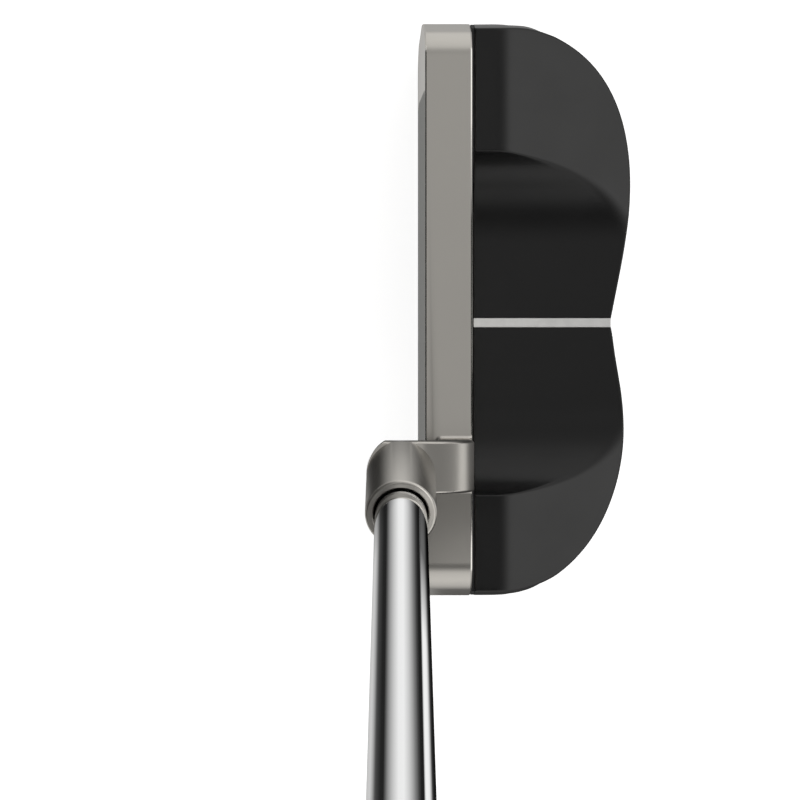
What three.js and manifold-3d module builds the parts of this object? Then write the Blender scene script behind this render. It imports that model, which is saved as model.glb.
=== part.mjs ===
// Right-handed mallet putter standing on its sole, with a one-piece steel front and neck, a soft
// face insert, a black aluminium rear body, a stepped steel shaft and a full grip.
// Millimetres, +Z up. The face looks along -Y, the toe is at -X, the heel and golfer are at +X.
// The origin is on the ground, under the alignment line, half way back in the head.

import * as THREE from 'three';
import { mergeVertices } from 'three/addons/utils/BufferGeometryUtils.js';
import Module from 'manifold-3d';

const wasm = await Module();
wasm.setup();

// ---------------------------------------------------------------- driving dimensions

// Clearances
const GAP = 0.3; // between pieces that touch
const INLAY_GAP = 0.1; // beside the alignment line
const BEYOND = 80; // reach of a cutting prism past the head

// Stance
const LEAN = THREE.MathUtils.degToRad(20); // shaft off vertical: a 70 degree lie
const LOFT = THREE.MathUtils.degToRad(3); // face tipped back

// Head, seen from the face
const TOP_Z = 25; // topline
const TOP_CORNER_RADIUS = 6;
const WAIST_Z = 14; // height of the widest point
const WAIST_RADIUS = 2;
const TOE_X = -60.25;
const HEEL_X = 55.4;
const TOE_FLARE = THREE.MathUtils.degToRad(21); // end walls lean outwards below the topline
const HEEL_FLARE = THREE.MathUtils.degToRad(15.5);
const SOLE_TUCK = 3.5; // end walls draw back in to the sole
const SOLE_CORNER_RADIUS = 6;

// Steel front, seen from the heel
const TOPLINE_FRONT = -20.3;
const TOPLINE_REAR = -11.2;
const LEADING_EDGE = TOPLINE_FRONT - TOP_Z * Math.tan(LOFT);
const LEADING_EDGE_RADIUS = 1.2;
const TONGUE_REAR = 6; // sole plate under the rear body
const TONGUE_THICKNESS = 4;

// Neck
const SHAFT_GROUND_X = 14; // where the shaft axis meets the ground
const SHAFT_Y = -25.1;
const STEM_TOE_X = 23.6;
const STEM_HEEL_X = 33.4;
const STEM_FRONT = -17.7;
const STEM_ROOT_Z = TOP_Z - 4; // where the neck grows out of the blade
const ARM_UNDERSIDE_Z = 33;
const ARM_TOP_Z = 45;
const ARM_SHOULDER_RADIUS = 10.5;
const ARM_THROAT_RADIUS = 3;
const BARREL_RADIUS = 6.45;
const RIM_HEIGHT = 65.2; // along the shaft axis from the ground
const BARREL_BASE_Z = 43; // the barrel rises from the arm's rounded end
const BARREL_START = 20; // along the shaft axis, inside the arm
const BORE_BOTTOM = 45;

// Rear body
const BODY_FRONT = TOPLINE_REAR + 0.9; // room for the bond film
const BAND_Z = 18.6; // level band behind the topline
const BAND_REAR = -4.6; // where the band and the wings would meet, unrounded
const BAND_BLEND_RADIUS = 11;
const BAND_FRONT_EDGE = 0.4;
const BODY_TOP_EDGE = 0.8; // toe and heel ends of the band
const WING_SLOPE = 0.38; // drop of the wings per millimetre rearwards
const BODY_REAR = 24;
const SOLE_RISE_START = 12;
const SOLE_RISE_RADIUS = 20;
const REAR_LIP_Z = 3.4;
const CHANNEL_FLOOR_Z = 8.6;
const CHANNEL_TOE_X = -34.2;
const CHANNEL_HEEL_X = 35.2;
const CHANNEL_WALL_WIDTH = 17.8; // quarter ellipse from the floor up to each edge
const CHANNEL_WALL_HEIGHT = 12.4;
const NOTCH_Y = 18; // middle of the rear edge, between the lobes
const NOTCH_HALF_WIDTH = 0.98;

// Bond film
const FILM_MARGIN = 0.6; // how far it stops short of the outline

// Alignment line
const LINE_WIDTH = 1.86;
const LINE_THICKNESS = 0.5;

// Face insert and the layers behind it, as thicknesses
const INSERT_TOE_X = -45.5;
const INSERT_HEEL_X = 43;
const INSERT_BOTTOM = 2.5; // up the lofted face
const INSERT_TOP = 24.2;
const INSERT_CORNER_RADIUS = 2.5;
const INSERT_THICKNESS = 2.1;
const BACKER_THICKNESS = 1;
const TAPE_THICKNESS = 0.5;

// Sole hardware
const SCREW_X = { toe: -24, middle: 0, heel: 24 };
const SCREW_Y = -6;
const SCREW_RADIUS = 2;
const SCREW_HEAD_RADIUS = 3.6;
const SCREW_HEAD_RIM = 0.3;
const SCREW_HEAD_HEIGHT = 1.9;
const SCREW_END_Z = 7.4;
const SCREW_SOCKET = 2.5; // hexagon across flats
const WEIGHT_X = { toe: -43, heel: 39 };
const WEIGHT_Y = -2.6;
const WEIGHT_RADIUS = 6.8;
const WEIGHT_TOP_Z = 9.5;
const WEIGHT_EDGE = 0.4;
const WEIGHT_SOCKET = 5;
const WEIGHT_SOCKET_DEPTH = 3;

// Shaft, as distances along its axis from the ground
const CLUB_LENGTH = 889; // 35 inches
const TIP_RADIUS = 4.7; // 0.370 inch tip
const TIP_END = 180; // parallel part of the tip
const STEP_COUNT = 14;
const STEP_LENGTH = 33;
const STEP_RISE = 0.2;
const STEP_RAMP = 1;
const WALL = 0.6;
const BUTT_RADIUS = TIP_RADIUS + STEP_COUNT * STEP_RISE;
const TIP_PLUG_LENGTH = 12;

// Grip
const GRIP_LENGTH = 267; // 10.5 inches
const END_CAP_THICKNESS = 5;
const TIP_RING_LENGTH = 6;
const GRIP_TAPE_THICKNESS = 0.4;
const SKIN_THICKNESS = 1.4;
const GRIP_STATIONS = 12;
const GRIP_SIDES = 32;
const VENT_RADIUS = 1.5;
const GRIP_SWELL_START = 0.25; // share of the length where it starts to thicken
const GRIP_LOWER = { halfWidth: 11.2, behind: 11.6, front: 10.8 };
const GRIP_GROWTH = { halfWidth: 2.6, behind: 3.6, front: 1.4 };
const COLLAR_INSETS = [[0, 1.3], [1.2, 0.3]]; // [height, inset] at the grip's lower end
const CAP_INSETS = [[0, 0], [2.6, 0.1], [4, 1], [4.7, 2.6], [END_CAP_THICKNESS, 5.2]];

// ---------------------------------------------------------------- geometry helpers

// Solid for booleans from a closed geometry.
function solidOf(geometry) {
  const bare = geometry.clone();
  bare.deleteAttribute('normal');
  bare.deleteAttribute('uv');
  const merged = mergeVertices(bare, 1e-5);
  return new wasm.Manifold(
    new wasm.Mesh({
      numProp: 3,
      vertProperties: Float32Array.from(merged.attributes.position.array),
      triVerts: Uint32Array.from(merged.index.array),
    }),
  );
}

function geometryOf(solid) {
  const mesh = solid.getMesh();
  const geometry = new THREE.BufferGeometry();
  geometry.setAttribute('position', new THREE.BufferAttribute(mesh.vertProperties, 3));
  geometry.setIndex(new THREE.BufferAttribute(mesh.triVerts, 1));
  geometry.computeVertexNormals();
  return geometry;
}

// Closed outline through corners [x, y, radius], each corner rounded by an arc.
function roundedOutline(corners) {
  const outline = new THREE.Shape();
  corners.forEach(([x, y, radius = 0], index) => {
    const corner = new THREE.Vector2(x, y);
    const previous = corners.at(index - 1);
    const next = corners[(index + 1) % corners.length];
    const back = new THREE.Vector2(previous[0], previous[1]).sub(corner).normalize();
    const ahead = new THREE.Vector2(next[0], next[1]).sub(corner).normalize();
    const half = Math.acos(back.dot(ahead)) / 2;
    const reach = radius / Math.tan(half);
    const start = corner.clone().addScaledVector(back, reach);
    const end = corner.clone().addScaledVector(ahead, reach);
    if (index === 0) outline.moveTo(start.x, start.y);
    else outline.lineTo(start.x, start.y);
    if (radius === 0) return;
    const middle = back.clone().add(ahead).normalize();
    const centre = corner.clone().addScaledVector(middle, radius / Math.sin(half));
    const from = start.clone().sub(centre).angle();
    const to = end.clone().sub(centre).angle();
    outline.absarc(centre.x, centre.y, radius, from, to, back.cross(ahead) > 0);
  });
  outline.closePath();
  return outline;
}

const PLANES = {
  XY: new THREE.Matrix4(),
  YZ: new THREE.Matrix4().makeBasis(
    new THREE.Vector3(0, 1, 0),
    new THREE.Vector3(0, 0, 1),
    new THREE.Vector3(1, 0, 0),
  ),
  XZ: new THREE.Matrix4().makeBasis(
    new THREE.Vector3(1, 0, 0),
    new THREE.Vector3(0, 0, 1),
    new THREE.Vector3(0, -1, 0),
  ),
};

// Outline drawn in a plane and carried straight along the third axis, from low to high.
function prism(outline, plane, low, high, curveSegments = 4) {
  const geometry = new THREE.ExtrudeGeometry(outline, {
    depth: high - low,
    bevelEnabled: false,
    curveSegments,
  });
  const start = plane === 'XZ' ? -high : low;
  geometry.translate(0, 0, start);
  return geometry.applyMatrix4(PLANES[plane]);
}

// Closed [radius, z] profile turned about Z.
function turned(profile, segments = 36) {
  const points = profile.map(([radius, z]) => new THREE.Vector2(radius, z));
  return new THREE.LatheGeometry(points, segments).rotateX(Math.PI / 2);
}

function rod(radius, low, high, segments = 36) {
  return turned([[0, low], [radius, low], [radius, high], [0, high]], segments);
}

// Hexagonal socket, across flats, opening downwards at low.
function hexagonSocket(acrossFlats, low, high) {
  return rod(acrossFlats / Math.sqrt(3), low, high, 6);
}

// Closed solid through rings of points, each ring closed by a fan at either end.
function loft(rings) {
  const count = rings[0].length;
  const points = rings.flat();
  const faces = [];
  for (let ring = 0; ring < rings.length - 1; ring++) {
    for (let side = 0; side < count; side++) {
      const a = ring * count + side;
      const b = ring * count + ((side + 1) % count);
      faces.push(a, b, b + count, a, b + count, a + count);
    }
  }
  const centreOf = (ring) =>
    ring.reduce((sum, point) => sum.add(point), new THREE.Vector3()).divideScalar(count);
  const bottom = points.push(centreOf(rings[0])) - 1;
  const top = points.push(centreOf(rings.at(-1))) - 1;
  for (let side = 0; side < count; side++) {
    const next = (side + 1) % count;
    const last = (rings.length - 1) * count;
    faces.push(bottom, next, side, top, last + side, last + next);
  }
  return new THREE.BufferGeometry().setFromPoints(points).setIndex(faces);
}

// ---------------------------------------------------------------- frames

// Shaft frame: local Z runs up the shaft from where its axis meets the ground.
const shaftGroup = new THREE.Group();
shaftGroup.position.set(SHAFT_GROUND_X, SHAFT_Y, 0);
shaftGroup.rotation.y = LEAN;
shaftGroup.updateMatrix();

// Face frame: local Y is the depth behind the lofted face, local Z runs up the face.
const faceGroup = new THREE.Group();
faceGroup.position.set(0, LEADING_EDGE, 0);
faceGroup.rotation.x = -LOFT;
faceGroup.updateMatrix();

const onShaft = (geometry) => geometry.clone().applyMatrix4(shaftGroup.matrix);
const onFace = (geometry) => geometry.clone().applyMatrix4(faceGroup.matrix);
const placed = (geometry, x, y) => geometry.clone().translate(x, y, 0);

// ---------------------------------------------------------------- shared outlines

// Head seen from the face, drawn in X-Z up to a given height.
function headOutline(topZ, topRadius, inset = 0) {
  const toeWall = (z) => TOE_X + inset + (z - WAIST_Z) * Math.tan(TOE_FLARE);
  const heelWall = (z) => HEEL_X - inset - (z - WAIST_Z) * Math.tan(HEEL_FLARE);
  return roundedOutline([
    [toeWall(topZ), topZ, topRadius],
    [TOE_X + inset, WAIST_Z, WAIST_RADIUS],
    [TOE_X + inset + SOLE_TUCK, 0, SOLE_CORNER_RADIUS],
    [HEEL_X - inset - SOLE_TUCK, 0, SOLE_CORNER_RADIUS],
    [HEEL_X - inset, WAIST_Z, WAIST_RADIUS],
    [heelWall(topZ), topZ, topRadius],
  ]);
}

// Channel across the rear body, drawn in X-Z: flat floor, quarter-ellipse walls, open top.
function channelOutline(grow = 0) {
  const floorZ = CHANNEL_FLOOR_Z - grow;
  const wallTop = floorZ + CHANNEL_WALL_HEIGHT;
  const toeX = CHANNEL_TOE_X - grow;
  const heelX = CHANNEL_HEEL_X + grow;
  const outline = new THREE.Shape();
  outline.moveTo(heelX, BEYOND);
  outline.lineTo(toeX, BEYOND);
  outline.lineTo(toeX, wallTop);
  outline.absellipse(
    toeX + CHANNEL_WALL_WIDTH, wallTop, CHANNEL_WALL_WIDTH, CHANNEL_WALL_HEIGHT,
    Math.PI, 1.5 * Math.PI,
  );
  outline.absellipse(
    heelX - CHANNEL_WALL_WIDTH, wallTop, CHANNEL_WALL_WIDTH, CHANNEL_WALL_HEIGHT,
    1.5 * Math.PI, 2 * Math.PI,
  );
  outline.closePath();
  return outline;
}

// Insert seen from the face, drawn in local X-Z.
function insertOutline(grow = 0) {
  const radius = INSERT_CORNER_RADIUS + grow;
  return roundedOutline([
    [INSERT_TOE_X - grow, INSERT_TOP + grow, radius],
    [INSERT_TOE_X - grow, INSERT_BOTTOM - grow, radius],
    [INSERT_HEEL_X + grow, INSERT_BOTTOM - grow, radius],
    [INSERT_HEEL_X + grow, INSERT_TOP + grow, radius],
  ]);
}

// Countersunk space or solid of a sole screw, on its own axis.
function screwShape(grow, startZ, endZ) {
  const headRadius = SCREW_HEAD_RADIUS + grow;
  const shankRadius = SCREW_RADIUS + grow;
  const coneZ = GAP + SCREW_HEAD_HEIGHT;
  return turned([
    [0, startZ],
    [headRadius, startZ],
    [headRadius, GAP + SCREW_HEAD_RIM],
    [shankRadius, coneZ],
    [shankRadius, endZ],
    [0, endZ],
  ], 24);
}

// Head from above, from well in front of the face round the two rear lobes and the notch.
function headPlanOutline() {
  const toeLobe = [
    [-60.17, -4.95], [-59.98, -1.8], [-59.44, 1.12], [-58.07, 4.86], [-55.28, 10.34],
    [-51.31, 14.92], [-45.41, 18.71], [-37.35, 21.19], [-29.2, 21.95], [-23.02, 21.74],
    [-14.82, 20.68], [-6.61, 19.12], [-NOTCH_HALF_WIDTH, NOTCH_Y],
  ];
  const heelLobe = [
    [5.7, 18.71], [13.9, 20.04], [22.1, 20.59], [30.28, 19.65], [38.41, 16.98], [44.45, 13.44],
    [48.41, 9.9], [52.35, 4.48], [54.37, -0.15], [55.1, -2.92], [55.31, -5.2],
    [HEEL_X, BODY_FRONT],
  ];
  const toVectors = (points) => points.map(([x, y]) => new THREE.Vector2(x, y));
  const outline = new THREE.Shape();
  outline.moveTo(TOE_X, -BEYOND);
  outline.lineTo(TOE_X, BODY_FRONT);
  outline.splineThru(toVectors(toeLobe));
  outline.lineTo(NOTCH_HALF_WIDTH, NOTCH_Y);
  outline.splineThru(toVectors(heelLobe));
  outline.lineTo(HEEL_X, -BEYOND);
  outline.closePath();
  return outline;
}

const headPlan = () => solidOf(prism(headPlanOutline(), 'XY', -GAP, BEYOND, 5));

// ---------------------------------------------------------------- steel front, neck and hosel

function neckSolid() {
  const sideView = roundedOutline([
    [TOPLINE_REAR, STEM_ROOT_Z],
    [TOPLINE_REAR, ARM_TOP_Z, ARM_SHOULDER_RADIUS],
    [SHAFT_Y - BEYOND, ARM_TOP_Z],
    [SHAFT_Y - BEYOND, ARM_UNDERSIDE_Z],
    [STEM_FRONT, ARM_UNDERSIDE_Z, ARM_THROAT_RADIUS],
    [STEM_FRONT, STEM_ROOT_Z],
  ]);
  const arm = solidOf(prism(sideView, 'YZ', STEM_TOE_X, STEM_HEEL_X, 5));

  // The arm's front follows the barrel, seen from above as an ellipse.
  const barrelX = SHAFT_GROUND_X + BARREL_BASE_Z * Math.tan(LEAN);
  const planView = new THREE.Shape();
  planView.moveTo(STEM_TOE_X - 1, 0);
  planView.lineTo(STEM_TOE_X - 1, SHAFT_Y);
  planView.absellipse(
    barrelX, SHAFT_Y, BARREL_RADIUS / Math.cos(LEAN), BARREL_RADIUS, Math.PI, 2 * Math.PI,
  );
  planView.lineTo(barrelX + BARREL_RADIUS / Math.cos(LEAN), 0);
  planView.closePath();
  const armFront = solidOf(prism(planView, 'XY', 0, BEYOND, 12));

  // The barrel starts level on the arm's rounded end and square on its toe flat.
  const trim = new THREE.BoxGeometry(BEYOND, BEYOND, BEYOND);
  trim.translate(STEM_TOE_X + BEYOND / 2, SHAFT_Y, BARREL_BASE_Z + BEYOND / 2);
  const barrel = solidOf(onShaft(rod(BARREL_RADIUS, BARREL_START, RIM_HEIGHT, 48)));
  return arm.intersect(armFront).add(barrel.intersect(solidOf(trim)));
}

function frontBodySolid() {
  const sideView = roundedOutline([
    [TOPLINE_FRONT, TOP_Z],
    [LEADING_EDGE, 0, LEADING_EDGE_RADIUS],
    [TONGUE_REAR, 0],
    [TONGUE_REAR, TONGUE_THICKNESS],
    [TOPLINE_REAR, TONGUE_THICKNESS],
    [TOPLINE_REAR, TOP_Z],
  ]);
  const ends = solidOf(prism(headOutline(TOP_Z, TOP_CORNER_RADIUS), 'XZ', -BEYOND, BEYOND, 6));
  const blade = solidOf(prism(sideView, 'YZ', -BEYOND, BEYOND)).intersect(ends).intersect(headPlan());

  const pocketDepth = INSERT_THICKNESS + BACKER_THICKNESS + TAPE_THICKNESS + 3 * GAP;
  const pocket = onFace(prism(insertOutline(GAP), 'XZ', -GAP, pocketDepth));
  const bore = onShaft(rod(TIP_RADIUS + GAP, BORE_BOTTOM, BEYOND, 48));
  const weightHole = rod(WEIGHT_RADIUS + GAP, -GAP, TONGUE_THICKNESS + GAP, 48);
  const screwHole = screwShape(GAP, -GAP, TONGUE_THICKNESS + GAP);
  const cuts = [
    pocket,
    bore,
    ...Object.values(WEIGHT_X).map((x) => placed(weightHole, x, WEIGHT_Y)),
    ...Object.values(SCREW_X).map((x) => placed(screwHole, x, SCREW_Y)),
  ];
  return cuts.reduce((body, cut) => body.subtract(solidOf(cut)), blade.add(neckSolid()));
}

// ---------------------------------------------------------------- rear body

function rearBodySolid() {
  const sideView = roundedOutline([
    [BODY_FRONT, BAND_Z, BAND_FRONT_EDGE],
    [BODY_FRONT, TONGUE_THICKNESS + GAP],
    [TONGUE_REAR + GAP, TONGUE_THICKNESS + GAP],
    [TONGUE_REAR + GAP, 0],
    [SOLE_RISE_START, 0, SOLE_RISE_RADIUS],
    [BODY_REAR, REAR_LIP_Z],
    [BODY_REAR, BAND_Z - WING_SLOPE * (BODY_REAR - BAND_REAR)],
    [BAND_REAR, BAND_Z, BAND_BLEND_RADIUS],
  ]);
  const ends = solidOf(prism(headOutline(BAND_Z, BODY_TOP_EDGE), 'XZ', -BEYOND, BEYOND)).intersect(headPlan());
  const channel = solidOf(prism(channelOutline(), 'XZ', -BEYOND, BEYOND, 8));
  const groove = new THREE.BoxGeometry(LINE_WIDTH + 2 * INLAY_GAP, 2 * BEYOND, BEYOND);
  groove.translate(0, 0, CHANNEL_FLOOR_Z - LINE_THICKNESS - INLAY_GAP + BEYOND / 2);
  const weightHole = rod(WEIGHT_RADIUS + GAP, 0, WEIGHT_TOP_Z + GAP, 48);
  const screwHole = rod(SCREW_RADIUS + GAP, 0, SCREW_END_Z + GAP, 24);
  const cuts = [
    groove,
    ...Object.values(WEIGHT_X).map((x) => placed(weightHole, x, WEIGHT_Y)),
    ...Object.values(SCREW_X).map((x) => placed(screwHole, x, SCREW_Y)),
  ];
  const body = solidOf(prism(sideView, 'YZ', -BEYOND, BEYOND, 6)).intersect(ends);
  return cuts.reduce((rest, cut) => rest.subtract(solidOf(cut)), body.subtract(channel));
}

// Film that bonds the rear body to the back of the steel.
function bondFilmSolid() {
  const room = BODY_FRONT - TOPLINE_REAR;
  const thickness = room - 2 * GAP;
  const low = TOPLINE_REAR + GAP;
  const sheet = solidOf(prism(headOutline(BAND_Z - FILM_MARGIN, BODY_TOP_EDGE, FILM_MARGIN), 'XZ', low, low + thickness));
  const above = new THREE.BoxGeometry(2 * BEYOND, BEYOND, BEYOND);
  above.translate(0, 0, TONGUE_THICKNESS + FILM_MARGIN + BEYOND / 2);
  const channel = solidOf(prism(channelOutline(FILM_MARGIN), 'XZ', -BEYOND, BEYOND, 8));
  return sheet.intersect(solidOf(above)).subtract(channel);
}

function alignmentLineGeometry() {
  const front = BODY_FRONT + INLAY_GAP;
  const rear = NOTCH_Y - INLAY_GAP;
  const line = new THREE.BoxGeometry(LINE_WIDTH, rear - front, LINE_THICKNESS);
  return line.translate(0, (rear + front) / 2, CHANNEL_FLOOR_Z - LINE_THICKNESS / 2);
}

// ---------------------------------------------------------------- sole hardware

function screwSolid() {
  const socketDepth = 1.3;
  const socket = hexagonSocket(SCREW_SOCKET, 0, GAP + socketDepth);
  return solidOf(screwShape(0, GAP, SCREW_END_Z)).subtract(solidOf(socket));
}

function weightSolid() {
  const plug = turned([
    [0, GAP],
    [WEIGHT_RADIUS - WEIGHT_EDGE, GAP],
    [WEIGHT_RADIUS, GAP + WEIGHT_EDGE],
    [WEIGHT_RADIUS, WEIGHT_TOP_Z - WEIGHT_EDGE],
    [WEIGHT_RADIUS - WEIGHT_EDGE, WEIGHT_TOP_Z],
    [0, WEIGHT_TOP_Z],
  ], 48);
  const socket = hexagonSocket(WEIGHT_SOCKET, 0, GAP + WEIGHT_SOCKET_DEPTH);
  return solidOf(plug).subtract(solidOf(socket));
}

// ---------------------------------------------------------------- shaft, in the shaft frame

const SHAFT_START = BORE_BOTTOM + GAP;
const GRIP_START = CLUB_LENGTH - GRIP_LENGTH;
const SHAFT_STOP = CLUB_LENGTH - END_CAP_THICKNESS - GAP;

function shaftGeometry() {
  const outside = [[TIP_RADIUS, SHAFT_START], [TIP_RADIUS, TIP_END]];
  for (let step = 1; step <= STEP_COUNT; step++) {
    const radius = TIP_RADIUS + step * STEP_RISE;
    const start = TIP_END + (step - 1) * STEP_LENGTH;
    const stop = step === STEP_COUNT ? SHAFT_STOP : start + STEP_LENGTH;
    outside.push([radius, start + STEP_RAMP], [radius, stop]);
  }
  const inside = [
    [BUTT_RADIUS - WALL, SHAFT_STOP],
    [BUTT_RADIUS - WALL, TIP_END + STEP_COUNT * STEP_LENGTH],
    [TIP_RADIUS - WALL, TIP_END],
    [TIP_RADIUS - WALL, SHAFT_START],
  ];
  return turned([...outside, ...inside, outside[0]], 36);
}

function tipPlugGeometry() {
  const low = SHAFT_START + 1;
  return rod(TIP_RADIUS - WALL - GAP, low, low + TIP_PLUG_LENGTH, 24);
}

// ---------------------------------------------------------------- grip, in the shaft frame

const TAPE_INNER = BUTT_RADIUS + GAP;
const TAPE_OUTER = TAPE_INNER + GRIP_TAPE_THICKNESS;
const CORE_BORE = TAPE_OUTER + GAP;

// Half width, and reach behind and in front of the shaft axis, at a fraction of the grip's length.
function gripSize(fraction) {
  const swell = THREE.MathUtils.smoothstep(fraction, GRIP_SWELL_START, 1);
  return {
    halfWidth: GRIP_LOWER.halfWidth + GRIP_GROWTH.halfWidth * swell,
    behind: GRIP_LOWER.behind + GRIP_GROWTH.behind * swell,
    front: GRIP_LOWER.front + GRIP_GROWTH.front * swell,
  };
}

// One ring around the grip: round behind, flat in front where the thumbs rest.
function gripRing(fraction, z, inset) {
  const { halfWidth, behind, front } = gripSize(fraction);
  const ring = [];
  for (let side = 0; side < GRIP_SIDES; side++) {
    const angle = (side / GRIP_SIDES) * 2 * Math.PI;
    const across = Math.sin(angle);
    const along = Math.cos(angle);
    const reach = along > 0 ? (behind - inset) * along ** 0.92 : -(front - inset) * (-along) ** 0.4;
    const width = (halfWidth - inset) * Math.sign(across) * Math.abs(across) ** 0.86;
    ring.push(new THREE.Vector3(reach, width, z));
  }
  return ring;
}

function gripLoft(low, high, inset) {
  const rings = [];
  for (let station = 0; station <= GRIP_STATIONS; station++) {
    const z = THREE.MathUtils.lerp(low, high, station / GRIP_STATIONS);
    rings.push(gripRing((z - GRIP_START) / GRIP_LENGTH, z, inset));
  }
  return loft(rings);
}

const SKIN_LOW = GRIP_START + TIP_RING_LENGTH + GAP;
const SKIN_HIGH = CLUB_LENGTH - END_CAP_THICKNESS - GAP;

function gripSkinSolid() {
  const outer = solidOf(gripLoft(SKIN_LOW, SKIN_HIGH, 0));
  return outer.subtract(solidOf(gripLoft(SKIN_LOW - 1, SKIN_HIGH + 1, SKIN_THICKNESS)));
}

function gripCoreSolid() {
  const core = solidOf(gripLoft(SKIN_LOW, SKIN_HIGH, SKIN_THICKNESS + GAP));
  return core.subtract(solidOf(rod(CORE_BORE, SKIN_LOW - 1, SKIN_HIGH + 1, 36)));
}

function gripTapeGeometry() {
  return turned([
    [TAPE_OUTER, SKIN_LOW],
    [TAPE_OUTER, SHAFT_STOP],
    [TAPE_INNER, SHAFT_STOP],
    [TAPE_INNER, SKIN_LOW],
    [TAPE_OUTER, SKIN_LOW],
  ]);
}

// Tapered collar that closes the grip's lower end round the shaft.
function tipRingSolid() {
  const fraction = TIP_RING_LENGTH / GRIP_LENGTH;
  const collar = loft([
    ...COLLAR_INSETS.map(([height, inset]) => gripRing(0, GRIP_START + height, inset)),
    gripRing(fraction, GRIP_START + TIP_RING_LENGTH, 0),
  ]);
  const bore = rod(TAPE_INNER, GRIP_START - 1, GRIP_START + TIP_RING_LENGTH + 1, 36);
  return solidOf(collar).subtract(solidOf(bore));
}

// Domed cap over the butt, with the vent hole that lets air out as the grip slides on.
function endCapSolid() {
  const low = CLUB_LENGTH - END_CAP_THICKNESS;
  const cap = loft(CAP_INSETS.map(([height, inset]) => gripRing(1, low + height, inset)));
  return solidOf(cap).subtract(solidOf(rod(VENT_RADIUS, low - 1, CLUB_LENGTH + 1, 16)));
}

// ---------------------------------------------------------------- materials and assembly

const FINISHES = {
  bead_blasted_steel: { color: 0x8f8c85, roughness: 0.45, metalness: 1 },
  milled_insert: { color: 0x74777a, roughness: 0.5, metalness: 0.4 },
  backing_alloy: { color: 0x5d7fb8, roughness: 0.4, metalness: 1 },
  tape: { color: 0x2a2a2c, roughness: 0.9, metalness: 0 },
  black_aluminium: { color: 0x1c1c1d, roughness: 0.45, metalness: 0.3 },
  white_fill: { color: 0xe8e8e6, roughness: 0.5, metalness: 0 },
  zinc_screw: { color: 0x8a8a88, roughness: 0.35, metalness: 1 },
  tungsten: { color: 0x7d7a76, roughness: 0.35, metalness: 1 },
  chrome: { color: 0xd8dadc, roughness: 0.08, metalness: 1 },
  plug_plastic: { color: 0x30302f, roughness: 0.7, metalness: 0 },
  grip_foam: { color: 0x202022, roughness: 0.95, metalness: 0 },
  grip_skin: { color: 0x19191b, roughness: 0.75, metalness: 0 },
  cap_rubber: { color: 0x141415, roughness: 0.7, metalness: 0 },
};

const putter = new THREE.Group();
putter.add(faceGroup, shaftGroup);

function addPiece(name, geometry, finish, parent = putter) {
  const mesh = new THREE.Mesh(geometry, new THREE.MeshStandardMaterial(FINISHES[finish]));
  mesh.name = name;
  parent.add(mesh);
  return mesh;
}

addPiece('face_neck_body', geometryOf(frontBodySolid()), 'bead_blasted_steel');
addPiece('rear_body', geometryOf(rearBodySolid()), 'black_aluminium');
addPiece('body_bond_film', geometryOf(bondFilmSolid()), 'tape');
addPiece('alignment_line', alignmentLineGeometry(), 'white_fill');

// The insert's layers, front to back, with a gap behind each.
const layers = [
  ['face_insert', INSERT_THICKNESS, 'milled_insert'],
  ['insert_backer', BACKER_THICKNESS, 'backing_alloy'],
  ['insert_bond_tape', TAPE_THICKNESS, 'tape'],
];
let layerFront = 0;
for (const [name, thickness, finish] of layers) {
  const layer = prism(insertOutline(), 'XZ', layerFront, layerFront + thickness);
  addPiece(name, layer, finish, faceGroup);
  layerFront += thickness + GAP;
}

for (const [end, x] of Object.entries(SCREW_X)) {
  const screw = addPiece(`body_screw_${end}`, geometryOf(screwSolid()), 'zinc_screw');
  screw.position.set(x, SCREW_Y, 0);
}
for (const [end, x] of Object.entries(WEIGHT_X)) {
  const weight = addPiece(`${end}_weight`, geometryOf(weightSolid()), 'tungsten');
  weight.position.set(x, WEIGHT_Y, 0);
}

addPiece('shaft', shaftGeometry(), 'chrome', shaftGroup);
addPiece('shaft_tip_plug', tipPlugGeometry(), 'plug_plastic', shaftGroup);
addPiece('grip_tape', gripTapeGeometry(), 'tape', shaftGroup);
addPiece('grip_core', geometryOf(gripCoreSolid()), 'grip_foam', shaftGroup);
addPiece('grip_skin', geometryOf(gripSkinSolid()), 'grip_skin', shaftGroup);
addPiece('grip_tip_ring', geometryOf(tipRingSolid()), 'cap_rubber', shaftGroup);
addPiece('grip_end_cap', geometryOf(endCapSolid()), 'cap_rubber', shaftGroup);

export default putter;
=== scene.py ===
"""Looks of the mallet putter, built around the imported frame.

Shapes are worked out in millimetres in the frame's own axes: +Z up, face towards -Y, toe at -X,
heel and golfer at +X. A mesh is scaled to metres when it is made.
"""

import math

import bmesh
import bpy
import numpy as np
from mathutils import Matrix, Vector
from mathutils.geometry import delaunay_2d_cdt


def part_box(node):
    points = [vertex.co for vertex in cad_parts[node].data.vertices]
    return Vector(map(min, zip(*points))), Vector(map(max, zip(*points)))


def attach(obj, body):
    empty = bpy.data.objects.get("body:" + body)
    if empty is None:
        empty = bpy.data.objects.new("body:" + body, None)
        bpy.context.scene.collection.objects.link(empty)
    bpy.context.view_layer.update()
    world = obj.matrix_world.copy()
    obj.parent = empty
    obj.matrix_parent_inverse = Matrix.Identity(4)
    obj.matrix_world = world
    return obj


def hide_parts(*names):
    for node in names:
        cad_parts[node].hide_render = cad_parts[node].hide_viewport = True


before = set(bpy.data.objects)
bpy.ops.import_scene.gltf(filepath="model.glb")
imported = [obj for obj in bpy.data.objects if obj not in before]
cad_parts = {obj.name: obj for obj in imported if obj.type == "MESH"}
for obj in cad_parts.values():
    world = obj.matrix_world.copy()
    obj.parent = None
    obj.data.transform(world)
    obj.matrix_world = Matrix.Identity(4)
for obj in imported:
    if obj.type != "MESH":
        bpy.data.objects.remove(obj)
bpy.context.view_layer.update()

# ---------------------------------------------------------------- dimensions, in millimetres

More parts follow.
